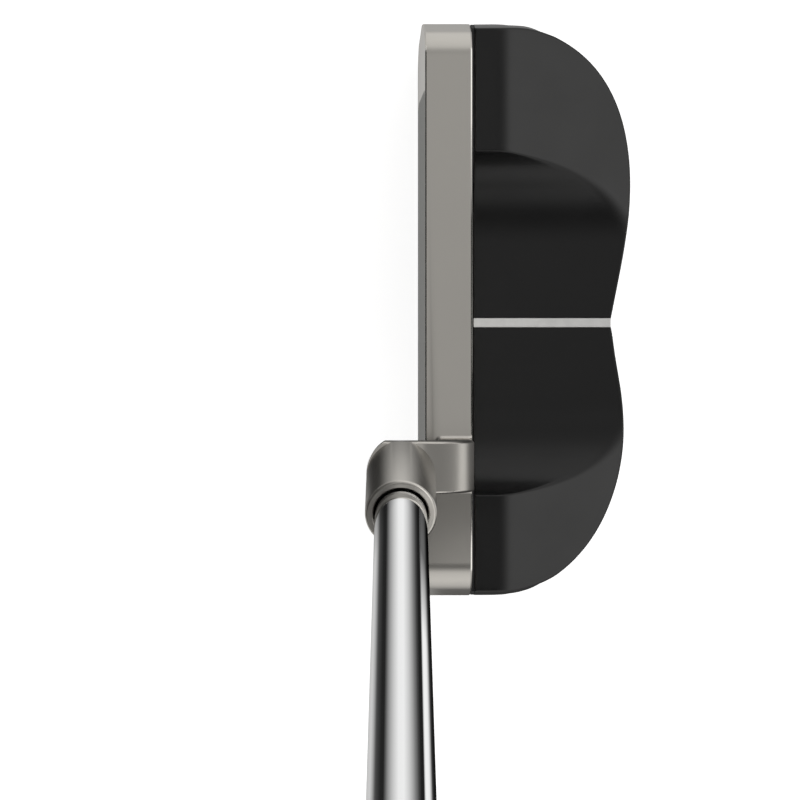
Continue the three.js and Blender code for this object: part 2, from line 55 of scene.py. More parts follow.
MM = 0.001
LEAN = math.radians(20)
LOFT = math.radians(3)


def span(node):
    """Lowest and highest corner of a CAD node."""
    low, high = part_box(node)
    return np.array(low) / MM, np.array(high) / MM


REAR_LOW, REAR_HIGH = span("rear_body")
INSERT_LOW, INSERT_HIGH = span("face_insert")
WEIGHTS = ("toe_weight", "heel_weight")
SCREWS = ("body_screw_toe", "body_screw_middle", "body_screw_heel")

# Head seen from the face
TOE_X = -60.25
HEEL_X = 55.4
TOP_Z = 25.0
TOP_CORNER_RADIUS = 6.0
WAIST_Z = 14.0
WAIST_RADIUS = 2.0
TOE_FLARE = math.radians(21)
HEEL_FLARE = math.radians(15.5)
SOLE_TUCK = 3.5
SOLE_CORNER_RADIUS = 6.0

# Steel front
TOPLINE_FRONT = -20.3
TOPLINE_REAR = -11.08
LEADING_EDGE = TOPLINE_FRONT - TOP_Z * math.tan(LOFT)
LEADING_RADIUS = 1.2
TONGUE_REAR = 6.0
TONGUE_TOP = 4.0
EDGE_BREAK = 0.26

# Insert, in the tilted face frame
INSERT_TOE_X = INSERT_LOW[0]
INSERT_HEEL_X = INSERT_HIGH[0]
INSERT_BOTTOM = 2.5
INSERT_TOP = 24.2
INSERT_CORNER = 2.5
INSERT_THICKNESS = 2.1
INSERT_RIM = 0.12
POCKET_GAP = 0.12
POCKET_DEPTH = 4.5
POCKET_EDGE = 0.1

# Neck
SHAFT_GROUND_X = 14.0
SHAFT_Y = -25.1
STEM_TOE_X = 23.6
STEM_HEEL_X = 33.4
STEM_FRONT = -17.7
STEM_EDGE = 0.55
ARM_UNDERSIDE_Z = 33.0
ARM_TOP_Z = 45.0
ARM_SHOULDER = 10.5
ARM_THROAT = 3.0
BASE_FILLET = 1.0
BARREL_RADIUS = 6.45
BARREL_BASE_Z = 43.0
RIM_HEIGHT = 65.2
RIM_EDGE = 0.6
BORE_BOTTOM = 45.0
BORE_RADIUS = 5.0
COUNTERSINK = 0.25
TIP_RADIUS = 4.7

# Rear body
BODY_FRONT = -10.3
BAND_Z = 18.6
BAND_REAR = -4.6
BAND_BLEND = 11.0
WING_SLOPE = 0.38
CHANNEL_FLOOR_Z = 8.6
CHANNEL_TOE_X = -34.2
CHANNEL_HEEL_X = 35.2
CHANNEL_WIDTH = 17.8
CHANNEL_HEIGHT = 12.4
CREASE_FRONT = 0.35
CREASE_REAR = 0.9
PARTING_Z = TONGUE_TOP + 0.3
PARTING_Y = TONGUE_REAR + 0.3
SOLE_RISE_START = 12.0
SOLE_RISE_RADIUS = 20.0
BODY_REAR = 24.0
REAR_LIP_Z = 3.4
BODY_EDGE = 0.3
GROOVE_HALF_WIDTH = 1.02
GROOVE_FLOOR_Z = 8.0
REAR_DRAFT = 0.8
REAR_SOLE_RADIUS = 2.0
FILM_MARGIN = 0.12
FILM_SUNK = 0.35
FILM_GAP = 0.05
TOE_LOBE = [
    (-60.17, -4.95), (-59.98, -1.8), (-59.44, 1.12), (-58.07, 4.86), (-55.28, 10.34), (-51.31, 14.92),
    (-45.41, 18.71), (-37.35, 21.19), (-29.2, 21.95), (-23.02, 21.74), (-14.82, 20.68), (-6.61, 19.12),
    (-0.98, 18.0),
]
HEEL_LOBE = [
    (0.98, 18.0), (5.7, 18.71), (13.9, 20.04), (22.1, 20.59), (30.28, 19.65), (38.41, 16.98), (44.45, 13.44),
    (48.41, 9.9), (52.35, 4.48), (54.37, -0.15), (55.1, -2.92), (55.28, -5.2),
]

# Sole hardware
WEIGHT_RADIUS = 6.8
WEIGHT_TOP_Z = 9.5
SCREW_RADIUS = 2.0
SCREW_HEAD_RADIUS = 3.6
SCREW_TOP_Z = 7.4
HARDWARE_GAP = 0.3

# Shaft and grip, along the shaft axis
CLUB_LENGTH = 889.0
SHAFT_START = 45.3
SHAFT_STOP = 883.7
TIP_END = 180.0
STEP_COUNT = 14
STEP_LENGTH = 33.0
STEP_RISE = 0.2
WALL = 0.6
BUTT_RADIUS = TIP_RADIUS + STEP_COUNT * STEP_RISE
GRIP_LENGTH = 267.0
GRIP_START = CLUB_LENGTH - GRIP_LENGTH
END_CAP = 5.0
TIP_RING = 6.0
SKIN_THICKNESS = 1.4
GRIP_SIDES = 144
SEAM_WIDTH = 0.9
SEAM_DEPTH = 0.35

# Camera: straight above, level with the shaft axis, toe at the top of the picture
CAMERA_PLACE = (15.85, SHAFT_Y - 0.17, 413.0)
CAMERA_LENS = 88.8

# Stage: the floor's half size, then the brightness the floor shows to mirrors across and along
FLOOR_SIZE = 30000
FLOOR_REACH = 1000
FLOOR_CARD_Z = 0.03
FLOOR_ACROSS = [
    (-1000, 1.0), (-105, 0.95), (-80, 0.55), (-60, 0.5), (-57, 0.0), (55, 0.0), (57, 0.06), (68, 0.1),
    (78, 0.42), (115, 0.8), (1000, 0.9),
]
FLOOR_ALONG = [(-1000, 0.03), (-85, 0.03), (-65, 0.6), (-22, 0.62), (-18, 0.03), (1000, 0.03)]

# Brightness round the foot of the shaft, by degrees from the toe towards the rear
SURROUND_Z = 27.0
GLINT_START = 80
SURROUND = [
    (-180, 0.5), (-125, 0.62), (-112, 0.45), (-95, 0.09), (-88, 0.055), (-70, 0.018), (-58, 0.018),
    (-50, 0.12), (-44, 0.25), (-25, 0.6), (-8, 0.88), (8, 0.9), (25, 0.62), (45, 0.22), (57, 0.06),
    (66, 0.015), (78, 0.012), (84, 0.85), (90, 0.95), (104, 0.88), (122, 0.05), (135, 0.01), (180, 0.01),
]

# Brightness of the studio by the height of the direction, and from the face (0) to the rear (1)
OVERHEAD = [(0.0, 0.0), (0.84, 0.0), (0.90, 0.20), (0.94, 0.22), (0.97, 0.30), (0.99, 0.50), (1.0, 0.54)]
AROUND = [(0.0, 1.0), (0.30, 1.0), (0.76, 0.92), (0.90, 0.05), (0.93, 0.0), (1.0, 0.0)]
FACE_TO_REAR = [
    (0.0, 0.03), (0.20, 0.06), (0.30, 0.14), (0.45, 0.85), (0.5, 1.0), (0.84, 1.1), (0.92, 0.3), (1.0, 0.3),
]
KEY_TILT = math.radians(40)
KEY_OUTER = math.radians(30)
KEY_INNER = math.radians(12)
KEY_STRENGTH = 1.3


# ---------------------------------------------------------------- curves and outlines

def rounded_polygon(corners, step=0.35):
    """Points and outward normals round a polygon, anticlockwise from corners (x, y, radius)."""
    points, normals = [], []
    count = len(corners)
    for index, (x, y, radius) in enumerate(corners):
        corner = np.array([x, y], float)
        back = np.array(corners[index - 1][:2], float) - corner
        ahead = np.array(corners[(index + 1) % count][:2], float) - corner
        back /= np.linalg.norm(back)
        ahead /= np.linalg.norm(ahead)
        side = 1.0 if back[1] * ahead[0] - back[0] * ahead[1] > 0 else -1.0
        half = math.acos(float(np.clip(back @ ahead, -1, 1))) / 2
        middle = (back + ahead) / np.linalg.norm(back + ahead)
        centre = corner + middle * radius / math.sin(half)
        sweep = math.pi - 2 * half
        # The outward normal of the edge that comes in is its direction turned a quarter right.
        start = math.atan2(back[0], -back[1])
        pieces = max(1, int(math.ceil(radius * sweep / step)))
        for piece in range(pieces + 1):
            angle = start + side * sweep * piece / pieces
            normal = np.array([math.cos(angle), math.sin(angle)])
            points.append(centre + side * radius * normal)
            normals.append(normal)
    return np.array(points), np.array(normals)


def height_profile(corners):
    """Height over distance along a chain of (distance, height, radius), each corner rounded."""
    first, last = corners[0], corners[-1]
    below = min(corner[1] for corner in corners) - 200
    closed = [(last[0], below, 0.01), (last[0], last[1], 0.01)]
    closed += reversed(corners[1:-1])
    closed += [(first[0], first[1], 0.01), (first[0], below, 0.01)]
    points, _ = rounded_polygon(closed, 0.04)
    points = points[points[:, 1] > below + 1]
    order = np.argsort(points[:, 0], kind="stable")
    return points[order, 0], points[order, 1]


def spline(points, start_slope, end_slope, step):
    """Evenly spaced points along a cubic spline, with set directions at its two ends."""
    knots = np.array(points, float)
    gaps = np.linalg.norm(np.diff(knots, axis=0), axis=1)
    place = np.concatenate([[0], np.cumsum(gaps)])
    count = len(knots)
    matrix = np.zeros((count, count))
    right = np.zeros((count, 2))
    matrix[0, 0] = matrix[-1, -1] = 1
    right[0], right[-1] = start_slope, end_slope
    for i in range(1, count - 1):
        before, after = gaps[i - 1], gaps[i]
        matrix[i, i - 1:i + 2] = after, 2 * (before + after), before
        right[i] = 3 * ((knots[i + 1] - knots[i]) * before / after
                        + (knots[i] - knots[i - 1]) * after / before)
    slopes = np.linalg.solve(matrix, right)
    where = np.linspace(0, place[-1], int(place[-1] / step) + 1)
    i = np.clip(np.searchsorted(place, where, side="right") - 1, 0, count - 2)
    gap = gaps[i][:, None]
    t = ((where - place[i]) / gaps[i])[:, None]
    stay = 2 * t**3 - 3 * t**2 + 1
    lead = (t**3 - 2 * t**2 + t) * gap
    trail = (t**3 - t**2) * gap
    return knots[i] * stay + knots[i + 1] * (1 - stay) + slopes[i] * lead + slopes[i + 1] * trail


def head_outline(top_z, top_radius, step=0.35):
    """Head seen from the face, in X-Z."""
    return rounded_polygon([
        (TOE_X + (top_z - WAIST_Z) * math.tan(TOE_FLARE), top_z, top_radius),
        (TOE_X, WAIST_Z, WAIST_RADIUS),
        (TOE_X + SOLE_TUCK, 0, SOLE_CORNER_RADIUS),
        (HEEL_X - SOLE_TUCK, 0, SOLE_CORNER_RADIUS),
        (HEEL_X, WAIST_Z, WAIST_RADIUS),
        (HEEL_X - (top_z - WAIST_Z) * math.tan(HEEL_FLARE), top_z, top_radius),
    ], step)


def smooth_min(a, b, radius):
    blend = np.clip(0.5 + 0.5 * (b - a) / radius, 0, 1)
    return b + (a - b) * blend - radius * blend * (1 - blend)


def smooth_step(value, low, high):
    t = np.clip((value - low) / (high - low), 0, 1)
    return t * t * (3 - 2 * t)


# ---------------------------------------------------------------- mesh helpers

def object_from(name, vertices, faces):
    mesh = bpy.data.meshes.new(name)
    mesh.from_pydata((np.asarray(vertices, float) * MM).tolist(), [], [list(face) for face in faces])
    mesh.validate()
    piece = bpy.data.objects.new(name, mesh)
    bpy.context.scene.collection.objects.link(piece)
    return facing_out(piece)


def facing_out(piece):
    scratch = bmesh.new()
    scratch.from_mesh(piece.data)
    bmesh.ops.remove_doubles(scratch, verts=scratch.verts, dist=1e-7)
    bmesh.ops.recalc_face_normals(scratch, faces=scratch.faces)
    scratch.to_mesh(piece.data)
    scratch.free()
    return piece


def at_height(points, z):
    """X-Y points lifted to one height, or each to its own."""
    return np.column_stack([points, np.full(len(points), z)])


def shifted(faces, first):
    return [tuple(first + i for i in face) for face in faces]


def ring_faces(ring_count, side_count, closed=False):
    """Quads between rings of equal count, and between the last and the first if closed."""
    faces = []
    for ring in range(ring_count if closed else ring_count - 1):
        low = ring * side_count
        high = (ring + 1) % ring_count * side_count
        for side in range(side_count):
            after = (side + 1) % side_count
            faces.append((low + side, low + after, high + after, high + side))
    return faces


def loft(name, rings):
    """Closed mesh through rings of equal count, capped flat at both ends."""
    count = len(rings[0])
    last = (len(rings) - 1) * count
    faces = ring_faces(len(rings), count)
    faces += [tuple(range(count - 1, -1, -1)), tuple(range(last, last + count))]
    return object_from(name, np.concatenate(rings), faces)


def turned(name, profile, segments=96, hollow=False):
    """Mesh turned about Z from (radius, z) points: a solid from axis to axis, or a hollow wall."""
    angles = np.linspace(0, 2 * math.pi, segments, endpoint=False)
    circle = np.stack([np.cos(angles), np.sin(angles)], axis=1)
    rings = [at_height(circle * radius, z) for radius, z in profile]
    if not hollow:
        return loft(name, rings)
    return object_from(name, np.concatenate(rings), ring_faces(len(profile), segments, closed=True))


def block(name, low, high):
    x, y = [low[0], high[0]], [low[1], high[1]]
    corners = [(x[0], y[0]), (x[1], y[0]), (x[1], y[1]), (x[0], y[1])]
    return loft(name, [[(*corner, z) for corner in corners] for z in (low[2], high[2])])


def moved(piece, matrix):
    piece.data.transform(matrix)
    return piece


def centred(piece, name):
    """Moves a piece from the Z axis to the middle of a CAD node, as seen from above."""
    low, high = span(name)
    return moved(piece, Matrix.Translation(((low[0] + high[0]) / 2 * MM, (low[1] + high[1]) / 2 * MM, 0)))


def merged(name, pieces):
    """One object from several separate shells."""
    scratch = bmesh.new()
    for piece in pieces:
        scratch.from_mesh(piece.data)
    mesh = bpy.data.meshes.new(name)
    scratch.to_mesh(mesh)
    scratch.free()
    for piece in pieces:
        bpy.data.objects.remove(piece)
    whole = bpy.data.objects.new(name, mesh)
    bpy.context.scene.collection.objects.link(whole)
    return whole


def with_modifier(piece, kind, **settings):
    """Puts a modifier's result into the piece's mesh."""
    modifier = piece.modifiers.new(kind, kind)
    for key, value in settings.items():
        setattr(modifier, key, value)
    result = piece.evaluated_get(bpy.context.evaluated_depsgraph_get())
    result = bpy.data.meshes.new_from_object(result)
    piece.modifiers.clear()
    piece.data = result
    return piece


def combined(piece, other, operation):
    """Joins, cuts or crosses a piece with another, which is used up."""
    bpy.context.view_layer.update()
    with_modifier(piece, "BOOLEAN", operation=operation, object=other, solver="EXACT")
    bpy.data.objects.remove(other)
    return piece


def smoothed(piece, sharp_degrees=32):
    piece.data.shade_smooth()
    piece.data.set_sharp_from_angle(angle=math.radians(sharp_degrees))
    return with_modifier(piece, "WEIGHTED_NORMAL", keep_sharp=True, weight=60)


def finished(piece, material, slot, *nodes):
    """Gives a piece its material and its place in the frame."""
    piece.data.materials.clear()
    piece.data.materials.append(material)
    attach(piece, "root")
    if nodes:
        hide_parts(*nodes)
    return piece


def filled(loop, inner=(), hole=None):
    """Points and triangles that fill a closed X-Y loop, through inner points, round a hole."""
    coords, edges = [], []
    for outline in [loop] if hole is None else [loop, hole]:
        first, count = len(coords), len(outline)
        coords += [Vector(point) for point in outline]
        edges += [(first + i, first + (i + 1) % count) for i in range(count)]
    coords += [Vector(point) for point in inner]
    vertices, _, faces, *_ = delaunay_2d_cdt(coords, edges, [], 1, 1e-7)
    vertices = np.array([tuple(vertex) for vertex in vertices])
    if hole is not None:
        middles = np.array([vertices[list(face)].mean(axis=0) for face in faces])
        faces = [face for face, inside in zip(faces, inside_convex(middles, hole)) if not inside]
    return vertices, faces


def inside_convex(points, outline):
    """Which points lie inside an anticlockwise convex outline."""
    inside = np.ones(len(points), bool)
    for a, b in zip(outline, np.roll(outline, -1, axis=0)):
        inside &= (b[0] - a[0]) * (points[:, 1] - a[1]) > (b[1] - a[1]) * (points[:, 0] - a[0])
    return inside


SHAFT_FRAME = (Matrix.Translation((SHAFT_GROUND_X * MM, SHAFT_Y * MM, 0))
               @ Matrix.Rotation(LEAN, 4, "Y"))
FACE_FRAME = Matrix.Translation((0, LEADING_EDGE * MM, 0)) @ Matrix.Rotation(-LOFT, 4, "X")


# ---------------------------------------------------------------- node helpers

def new_material(name, colour, metallic=0.0, roughness=0.5, ior=1.45):
    material = bpy.data.materials.new(name)
    material.use_nodes = True
    shader = material.node_tree.nodes["Principled BSDF"]
    shader.inputs["Base Color"].default_value = (*colour, 1)
    shader.inputs["Metallic"].default_value = metallic
    shader.inputs["Roughness"].default_value = roughness
    shader.inputs["IOR"].default_value = ior
    return material


def node(tree, kind, inputs=(), **settings):
    """Adds a node, and links or sets the inputs named in a dict."""
    added = tree.nodes.new(kind)
    for key, value in settings.items():
        setattr(added, key, value)
    for key, value in dict(inputs).items():
        if isinstance(value, bpy.types.NodeSocket):
            tree.links.new(value, added.inputs[key])
        else:
            added.inputs[key].default_value = value
    return added


def object_place(tree):
    return node(tree, "ShaderNodeTexCoord").outputs["Object"]


def axes(tree, vector):
    return node(tree, "ShaderNodeSeparateXYZ", {"Vector": vector}).outputs


def maths(tree, operation, a, b):
    return node(tree, "ShaderNodeMath", {0: a, 1: b}, operation=operation).outputs[0]


def ranged(tree, value, start, stop, low, high, **settings):
    """Maps a value that runs from start to stop onto low to high, and holds it there."""
    return node(tree, "ShaderNodeMapRange", {
        "Value": value, "From Min": start, "From Max": stop, "To Min": low, "To Max": high,
    }, **settings).outputs["Result"]


def grain(tree, size_mm, detail):
    """Fine noise, with lumps about size_mm across, in the frame's own axes."""
    noise = node(tree, "ShaderNodeTexNoise", {
        "Vector": object_place(tree), "Scale": 0.5 / (size_mm * MM), "Detail": detail})
    return noise.outputs["Fac"]


def bumped(material, height, strength, depth_mm):
    tree = material.node_tree
    bump = node(tree, "ShaderNodeBump", {
        "Height": height, "Strength": strength, "Distance": depth_mm * MM})
    tree.links.new(bump.outputs["Normal"], tree.nodes["Principled BSDF"].inputs["Normal"])


def varied(material, socket, factor, low, high):
    """Runs a socket between two values or colours by a factor from 0.3 to 0.7."""
    tree = material.node_tree
    target = tree.nodes["Principled BSDF"].inputs[socket]
    if isinstance(low, tuple):
        ramp = node(tree, "ShaderNodeValToRGB", {"Fac": factor})
        for element, place, colour in zip(ramp.color_ramp.elements, (0.3, 0.7), (low, high)):
            element.position = place
            element.color = (*colour, 1)
        tree.links.new(ramp.outputs["Color"], target)
    else:
        tree.links.new(ranged(tree, factor, 0.3, 0.7, low, high), target)


# ---------------------------------------------------------------- materials

def blasted_steel():
    """Bead-blasted stainless steel: a fine even grain with faint handling marks."""
    material = new_material("blasted_steel", (0.50, 0.485, 0.45), 1.0, 0.3)
    tree = material.node_tree
    fine = grain(tree, 0.10, 2)
    cloud = grain(tree, 9, 4)
    varied(material, "Base Color", cloud, (0.535, 0.515, 0.48), (0.565, 0.545, 0.505))
    varied(material, "Roughness", cloud, 0.28, 0.32)
    bumped(material, fine, 0.3, 0.010)
    return material


def bright_edge():
    """Smooth milled steel of a broken edge."""
    material = new_material("bright_edge", (0.62, 0.61, 0.57), 1.0, 0.1)
    varied(material, "Roughness", grain(material.node_tree, 1.5, 3), 0.08, 0.13)
    return material


def black_body():
    """Black anodised aluminium with a fine blasted grain."""
    material = new_material("black_anodised", (0.0035, 0.0035, 0.0037), 0.0, 0.3, 1.42)
    tree = material.node_tree
    varied(material, "Roughness", grain(tree, 6, 4), 0.28, 0.33)
    bumped(material, grain(tree, 0.14, 2), 0.25, 0.010)
    return material


def milled_insert():
    """Grey milled insert with a fine speckle, blue along its lower edge."""
    material = new_material("milled_insert", (0.2, 0.2, 0.19), 0.7, 0.5)
    tree = material.node_tree
    speckle = grain(tree, 0.22, 2)
    rim = ranged(tree, axes(tree, object_place(tree))["Z"], 3.4 * MM, 2.6 * MM, 0.0, 1.0)
    grey = node(tree, "ShaderNodeMix", {
        0: speckle, 6: (0.15, 0.15, 0.14, 1), 7: (0.27, 0.27, 0.255, 1)}, data_type="RGBA")
    blue = node(tree, "ShaderNodeMix", {
        0: rim, 6: grey.outputs[2], 7: (0.13, 0.16, 0.32, 1)}, data_type="RGBA")
    tree.links.new(blue.outputs[2], tree.nodes["Principled BSDF"].inputs["Base Color"])
    bumped(material, speckle, 0.3, 0.02)
    return material


def white_fill():
    """White paint fill, slightly uneven."""
    material = new_material("white_paint", (0.78, 0.78, 0.77), 0.0, 0.45)
    tree = material.node_tree
    cloud = grain(tree, 1.2, 3)
    varied(material, "Base Color", cloud, (0.74, 0.74, 0.73), (0.82, 0.82, 0.81))
    bumped(material, cloud, 0.15, 0.02)
    return material


def machined(name, colour, roughness):
    """Turned metal with fine rings left by the tool."""
    material = new_material(name, colour, 1.0, roughness)
    tree = material.node_tree
    rings = grain(tree, 0.12, 2)
    varied(material, "Roughness", grain(tree, 2.5, 3), roughness - 0.05, roughness + 0.07)
    bumped(material, rings, 0.25, 0.008)
    return material


def chrome():
    """Bright chrome plate with a faint waviness."""
    material = new_material("chrome", (0.93, 0.935, 0.94), 1.0, 0.03)
    tree = material.node_tree
    varied(material, "Roughness", grain(tree, 8, 4), 0.02, 0.045)
    return material


def dark_layer(name, colour, roughness, size_mm):
    """Plain dark adhesive, tape or plastic with its own grain."""
    material = new_material(name, colour, 0.0, roughness)
    tree = material.node_tree
    lumps = grain(tree, size_mm, 4)
    varied(material, "Roughness", lumps, roughness - 0.08, roughness + 0.08)
    bumped(material, lumps, 0.4, 0.05)
    return material


def backer_alloy():
    """Blue anodised backing plate."""
    material = new_material("blue_backer", (0.11, 0.20, 0.48), 1.0, 0.36)
    tree = material.node_tree
    bumped(material, grain(tree, 0.2, 2), 0.2, 0.01)
    varied(material, "Roughness", grain(tree, 4, 3), 0.32, 0.42)
    return material


def pebbled_rubber(name, colour, cell_mm, depth_mm):
    """Moulded grip rubber: small raised pebbles over a fine matt grain."""
    material = new_material(name, colour, 0.0, 0.62)
    tree = material.node_tree
    cells = node(tree, "ShaderNodeTexVoronoi", {
        "Vector": object_place(tree), "Scale": 1 / (cell_mm * MM)}, feature="SMOOTH_F1")
    raised = ranged(
        tree, cells.outputs["Distance"], 0.15, 0.6, 1.0, 0.0, interpolation_type="SMOOTHSTEP")
    fine = maths(tree, "MULTIPLY", grain(tree, 0.25, 3), 0.3)
    height = maths(tree, "ADD", raised, fine)
    dark, light = (tuple(part * share for part in colour) for share in (0.85, 1.2))
    varied(material, "Base Color", grain(tree, 12, 4), dark, light)
    varied(material, "Roughness", grain(tree, 5, 3), 0.55, 0.7)
    bumped(material, height, 0.7, depth_mm)
    return material


STEEL = blasted_steel()
BRIGHT_EDGE = bright_edge()
BLACK = black_body()
INSERT = milled_insert()
BACKER = backer_alloy()
WHITE = white_fill()
CHROME = chrome()
SCREW = machined("zinc_screw", (0.52, 0.52, 0.51), 0.34)
WEIGHT = machined("tungsten_weight", (0.42, 0.41, 0.40), 0.32)
FILM = dark_layer("bond_film", (0.012, 0.012, 0.013), 0.75, 0.8)
PLUG = dark_layer("plug_plastic", (0.02, 0.02, 0.02), 0.6, 1.0)
FOAM = dark_layer("grip_foam", (0.025, 0.025, 0.026), 0.85, 0.6)
GRIP = pebbled_rubber("grip_rubber", (0.016, 0.016, 0.017), 1.1, 0.12)
TRIM = pebbled_rubber("grip_trim_rubber", (0.012, 0.012, 0.013), 0.5, 0.03)


# ---------------------------------------------------------------- outline of the head from above

def end_insets():
    """Heights, and how far the toe and heel walls stand in from the widest point at each."""
    points, _ = head_outline(TOP_Z, 0.01, 0.1)
    sides = []
    levels = np.linspace(0, TOP_Z, 251)
    for wall in (points[points[:, 0] < -40], points[points[:, 0] > 40]):
        wall = wall[np.argsort(wall[:, 1])]
        reach = np.abs(np.interp(levels, wall[:, 1], wall[:, 0]))
        sides.append(reach.max() - reach)
    return levels, *sides


INSET_LEVELS, TOE_INSETS, HEEL_INSETS = end_insets()
BAND_Y, BAND_HEIGHT = height_profile([
    (BODY_FRONT - 40, BAND_Z, 0), (BAND_REAR, BAND_Z, BAND_BLEND),
    (BODY_REAR + 20, BAND_Z - WING_SLOPE * (BODY_REAR + 20 - BAND_REAR), 0),
])
SOLE_Y, SOLE_HEIGHT = height_profile([
    (BODY_FRONT - 40, 0, 0), (SOLE_RISE_START, 0, SOLE_RISE_RADIUS),
    (BODY_REAR, REAR_LIP_Z, 0.01), (BODY_REAR + 20, REAR_LIP_Z, 0),
])


def sole_height(y):
    return np.interp(y, SOLE_Y, SOLE_HEIGHT)


def top_height(x, y):
    """Top of the rear body: band, step and sloping wings, with the channel scooped out."""
    x, y = np.asarray(x, float), np.asarray(y, float)
    wing = np.interp(y, BAND_Y, BAND_HEIGHT)
    edge = np.where(x < 0, -CHANNEL_TOE_X, CHANNEL_HEEL_X)
    across = np.clip((np.abs(x) - (edge - CHANNEL_WIDTH)) / CHANNEL_WIDTH, 0, None)
    radius = CREASE_FRONT + (CREASE_REAR - CREASE_FRONT) * smooth_step(y, -2, 16)
    low, high = np.full_like(wing, CHANNEL_FLOOR_Z - 2), wing.copy()
    for _ in range(30):
        middle = (low + high) / 2
        # Clearance from the channel, whose section is a quarter ellipse on either side.
        down = np.clip((CHANNEL_FLOOR_Z + CHANNEL_HEIGHT - middle) / CHANNEL_HEIGHT, 0, None)
        round_out = np.sqrt(across**2 + down**2)
        pitch = np.sqrt((across / CHANNEL_WIDTH)**2 + (down / CHANNEL_HEIGHT)**2)
        clearance = (round_out - 1) * round_out / np.maximum(pitch, 1e-6)
        above = smooth_min(wing - middle, clearance, radius) < 0
        high = np.where(above, middle, high)
        low = np.where(above, low, middle)
    return (low + high) / 2


def top_normal(x, y, reach=0.03):
    across = (top_height(x + reach, y) - top_height(x - reach, y)) / (2 * reach)
    along = (top_height(x, y + reach) - top_height(x, y - reach)) / (2 * reach)
    normal = np.stack([-across, -along, np.ones_like(across)], axis=-1)
    return normal / np.linalg.norm(normal, axis=-1, keepdims=True)


def head_plan(front, step):
    """The head from above, clockwise from the toe's front corner, with outward side normals."""
    toe_end, heel_end = REAR_LOW[0], REAR_HIGH[0]
    toe = spline([(toe_end, BODY_FRONT), *TOE_LOBE], (0, 1), (0.98, -0.2), step)
    heel = spline([*HEEL_LOBE, (heel_end, BODY_FRONT)], (0.98, 0.2), (0, -1), step)
    sides = np.concatenate([toe, heel])
    if front < BODY_FRONT - 0.01:
        sides = np.concatenate([[(toe_end, front)], sides, [(heel_end, front)]])
    ahead = np.gradient(sides, axis=0)
    normals = np.stack([-ahead[:, 1], ahead[:, 0]], axis=1)
    normals /= np.linalg.norm(normals, axis=1, keepdims=True)
    return sides, normals


def tucked(points, normals, z, widest):
    """Side wall points at height z, on a wall that is widest at its own given height."""
    level = np.where(z < widest, z / widest * WAIST_Z, WAIST_Z + np.maximum(z - WAIST_Z, 0))
    ends = np.where(
        normals[:, 0] < 0,
        np.interp(level, INSET_LEVELS, TOE_INSETS),
        np.interp(level, INSET_LEVELS, HEEL_INSETS),
    )
    bottom = sole_height(points[:, 1])
    rise = np.clip(z - bottom, 0, None)
    rear = REAR_DRAFT * np.clip(1 - z / widest, 0, 1)
    rear += REAR_SOLE_RADIUS * (1 - np.sqrt(1 - np.clip(1 - rise / REAR_SOLE_RADIUS, 0, 1)**2))
    share = normals[:, 0]**2
    inset = ends * share + rear * (1 - share)
    inset *= np.linalg.norm(normals, axis=1)
    return points - normals * inset[:, None]


def graded_points(low, high, coarse, fine, bend_degrees):
    """Points over the top surface, packed closer where it bends more."""
    xs = np.arange(low[0], high[0] + coarse, coarse)
    ys = np.arange(low[1], high[1] + coarse, coarse)
    cells = np.stack(np.meshgrid(xs, ys, indexing="ij"), -1).reshape(-1, 2)
    size = coarse
    kept = []
    limit = math.cos(math.radians(bend_degrees))
    quarters = np.array([(0, 0), (1, 0), (0, 1), (1, 1)])
    while True:
        corners = cells[:, None, :] + (quarters * size)[None]
        kept.append(corners.reshape(-1, 2))
        if size <= fine:
            break
        normals = top_normal(corners[..., 0], corners[..., 1])
        middle = top_normal(cells[:, 0] + size / 2, cells[:, 1] + size / 2)
        bent = (normals * middle[:, None, :]).sum(-1).min(axis=1) < limit
        size /= 2
        cells = (cells[bent][:, None, :] + quarters[None] * size).reshape(-1, 2)
        if not len(cells):
            break
    return np.unique(np.round(np.concatenate(kept), 5), axis=0)


def well_inside(points, loop, margin):
    """The points that lie inside a closed loop and clear of it by a margin."""
    inside = np.zeros(len(points), bool)
    ahead = np.roll(loop, -1, axis=0)
    for (x1, y1), (x2, y2) in zip(loop, ahead):
        if y1 == y2:
            continue
        crosses = (points[:, 1] > min(y1, y2)) & (points[:, 1] <= max(y1, y2))
        inside ^= crosses & (points[:, 0] < x1 + (points[:, 1] - y1) / (y2 - y1) * (x2 - x1))
    points = points[inside]
    clear = np.full(len(points), np.inf)
    for a, b in zip(loop, ahead):
        along = b - a
        share = np.clip(((points - a) @ along) / max(along @ along, 1e-9), 0, 1)
        clear = np.minimum(clear, np.linalg.norm(points - a - share[:, None] * along, axis=1))
    return points[clear > margin]


# ---------------------------------------------------------------- rear body

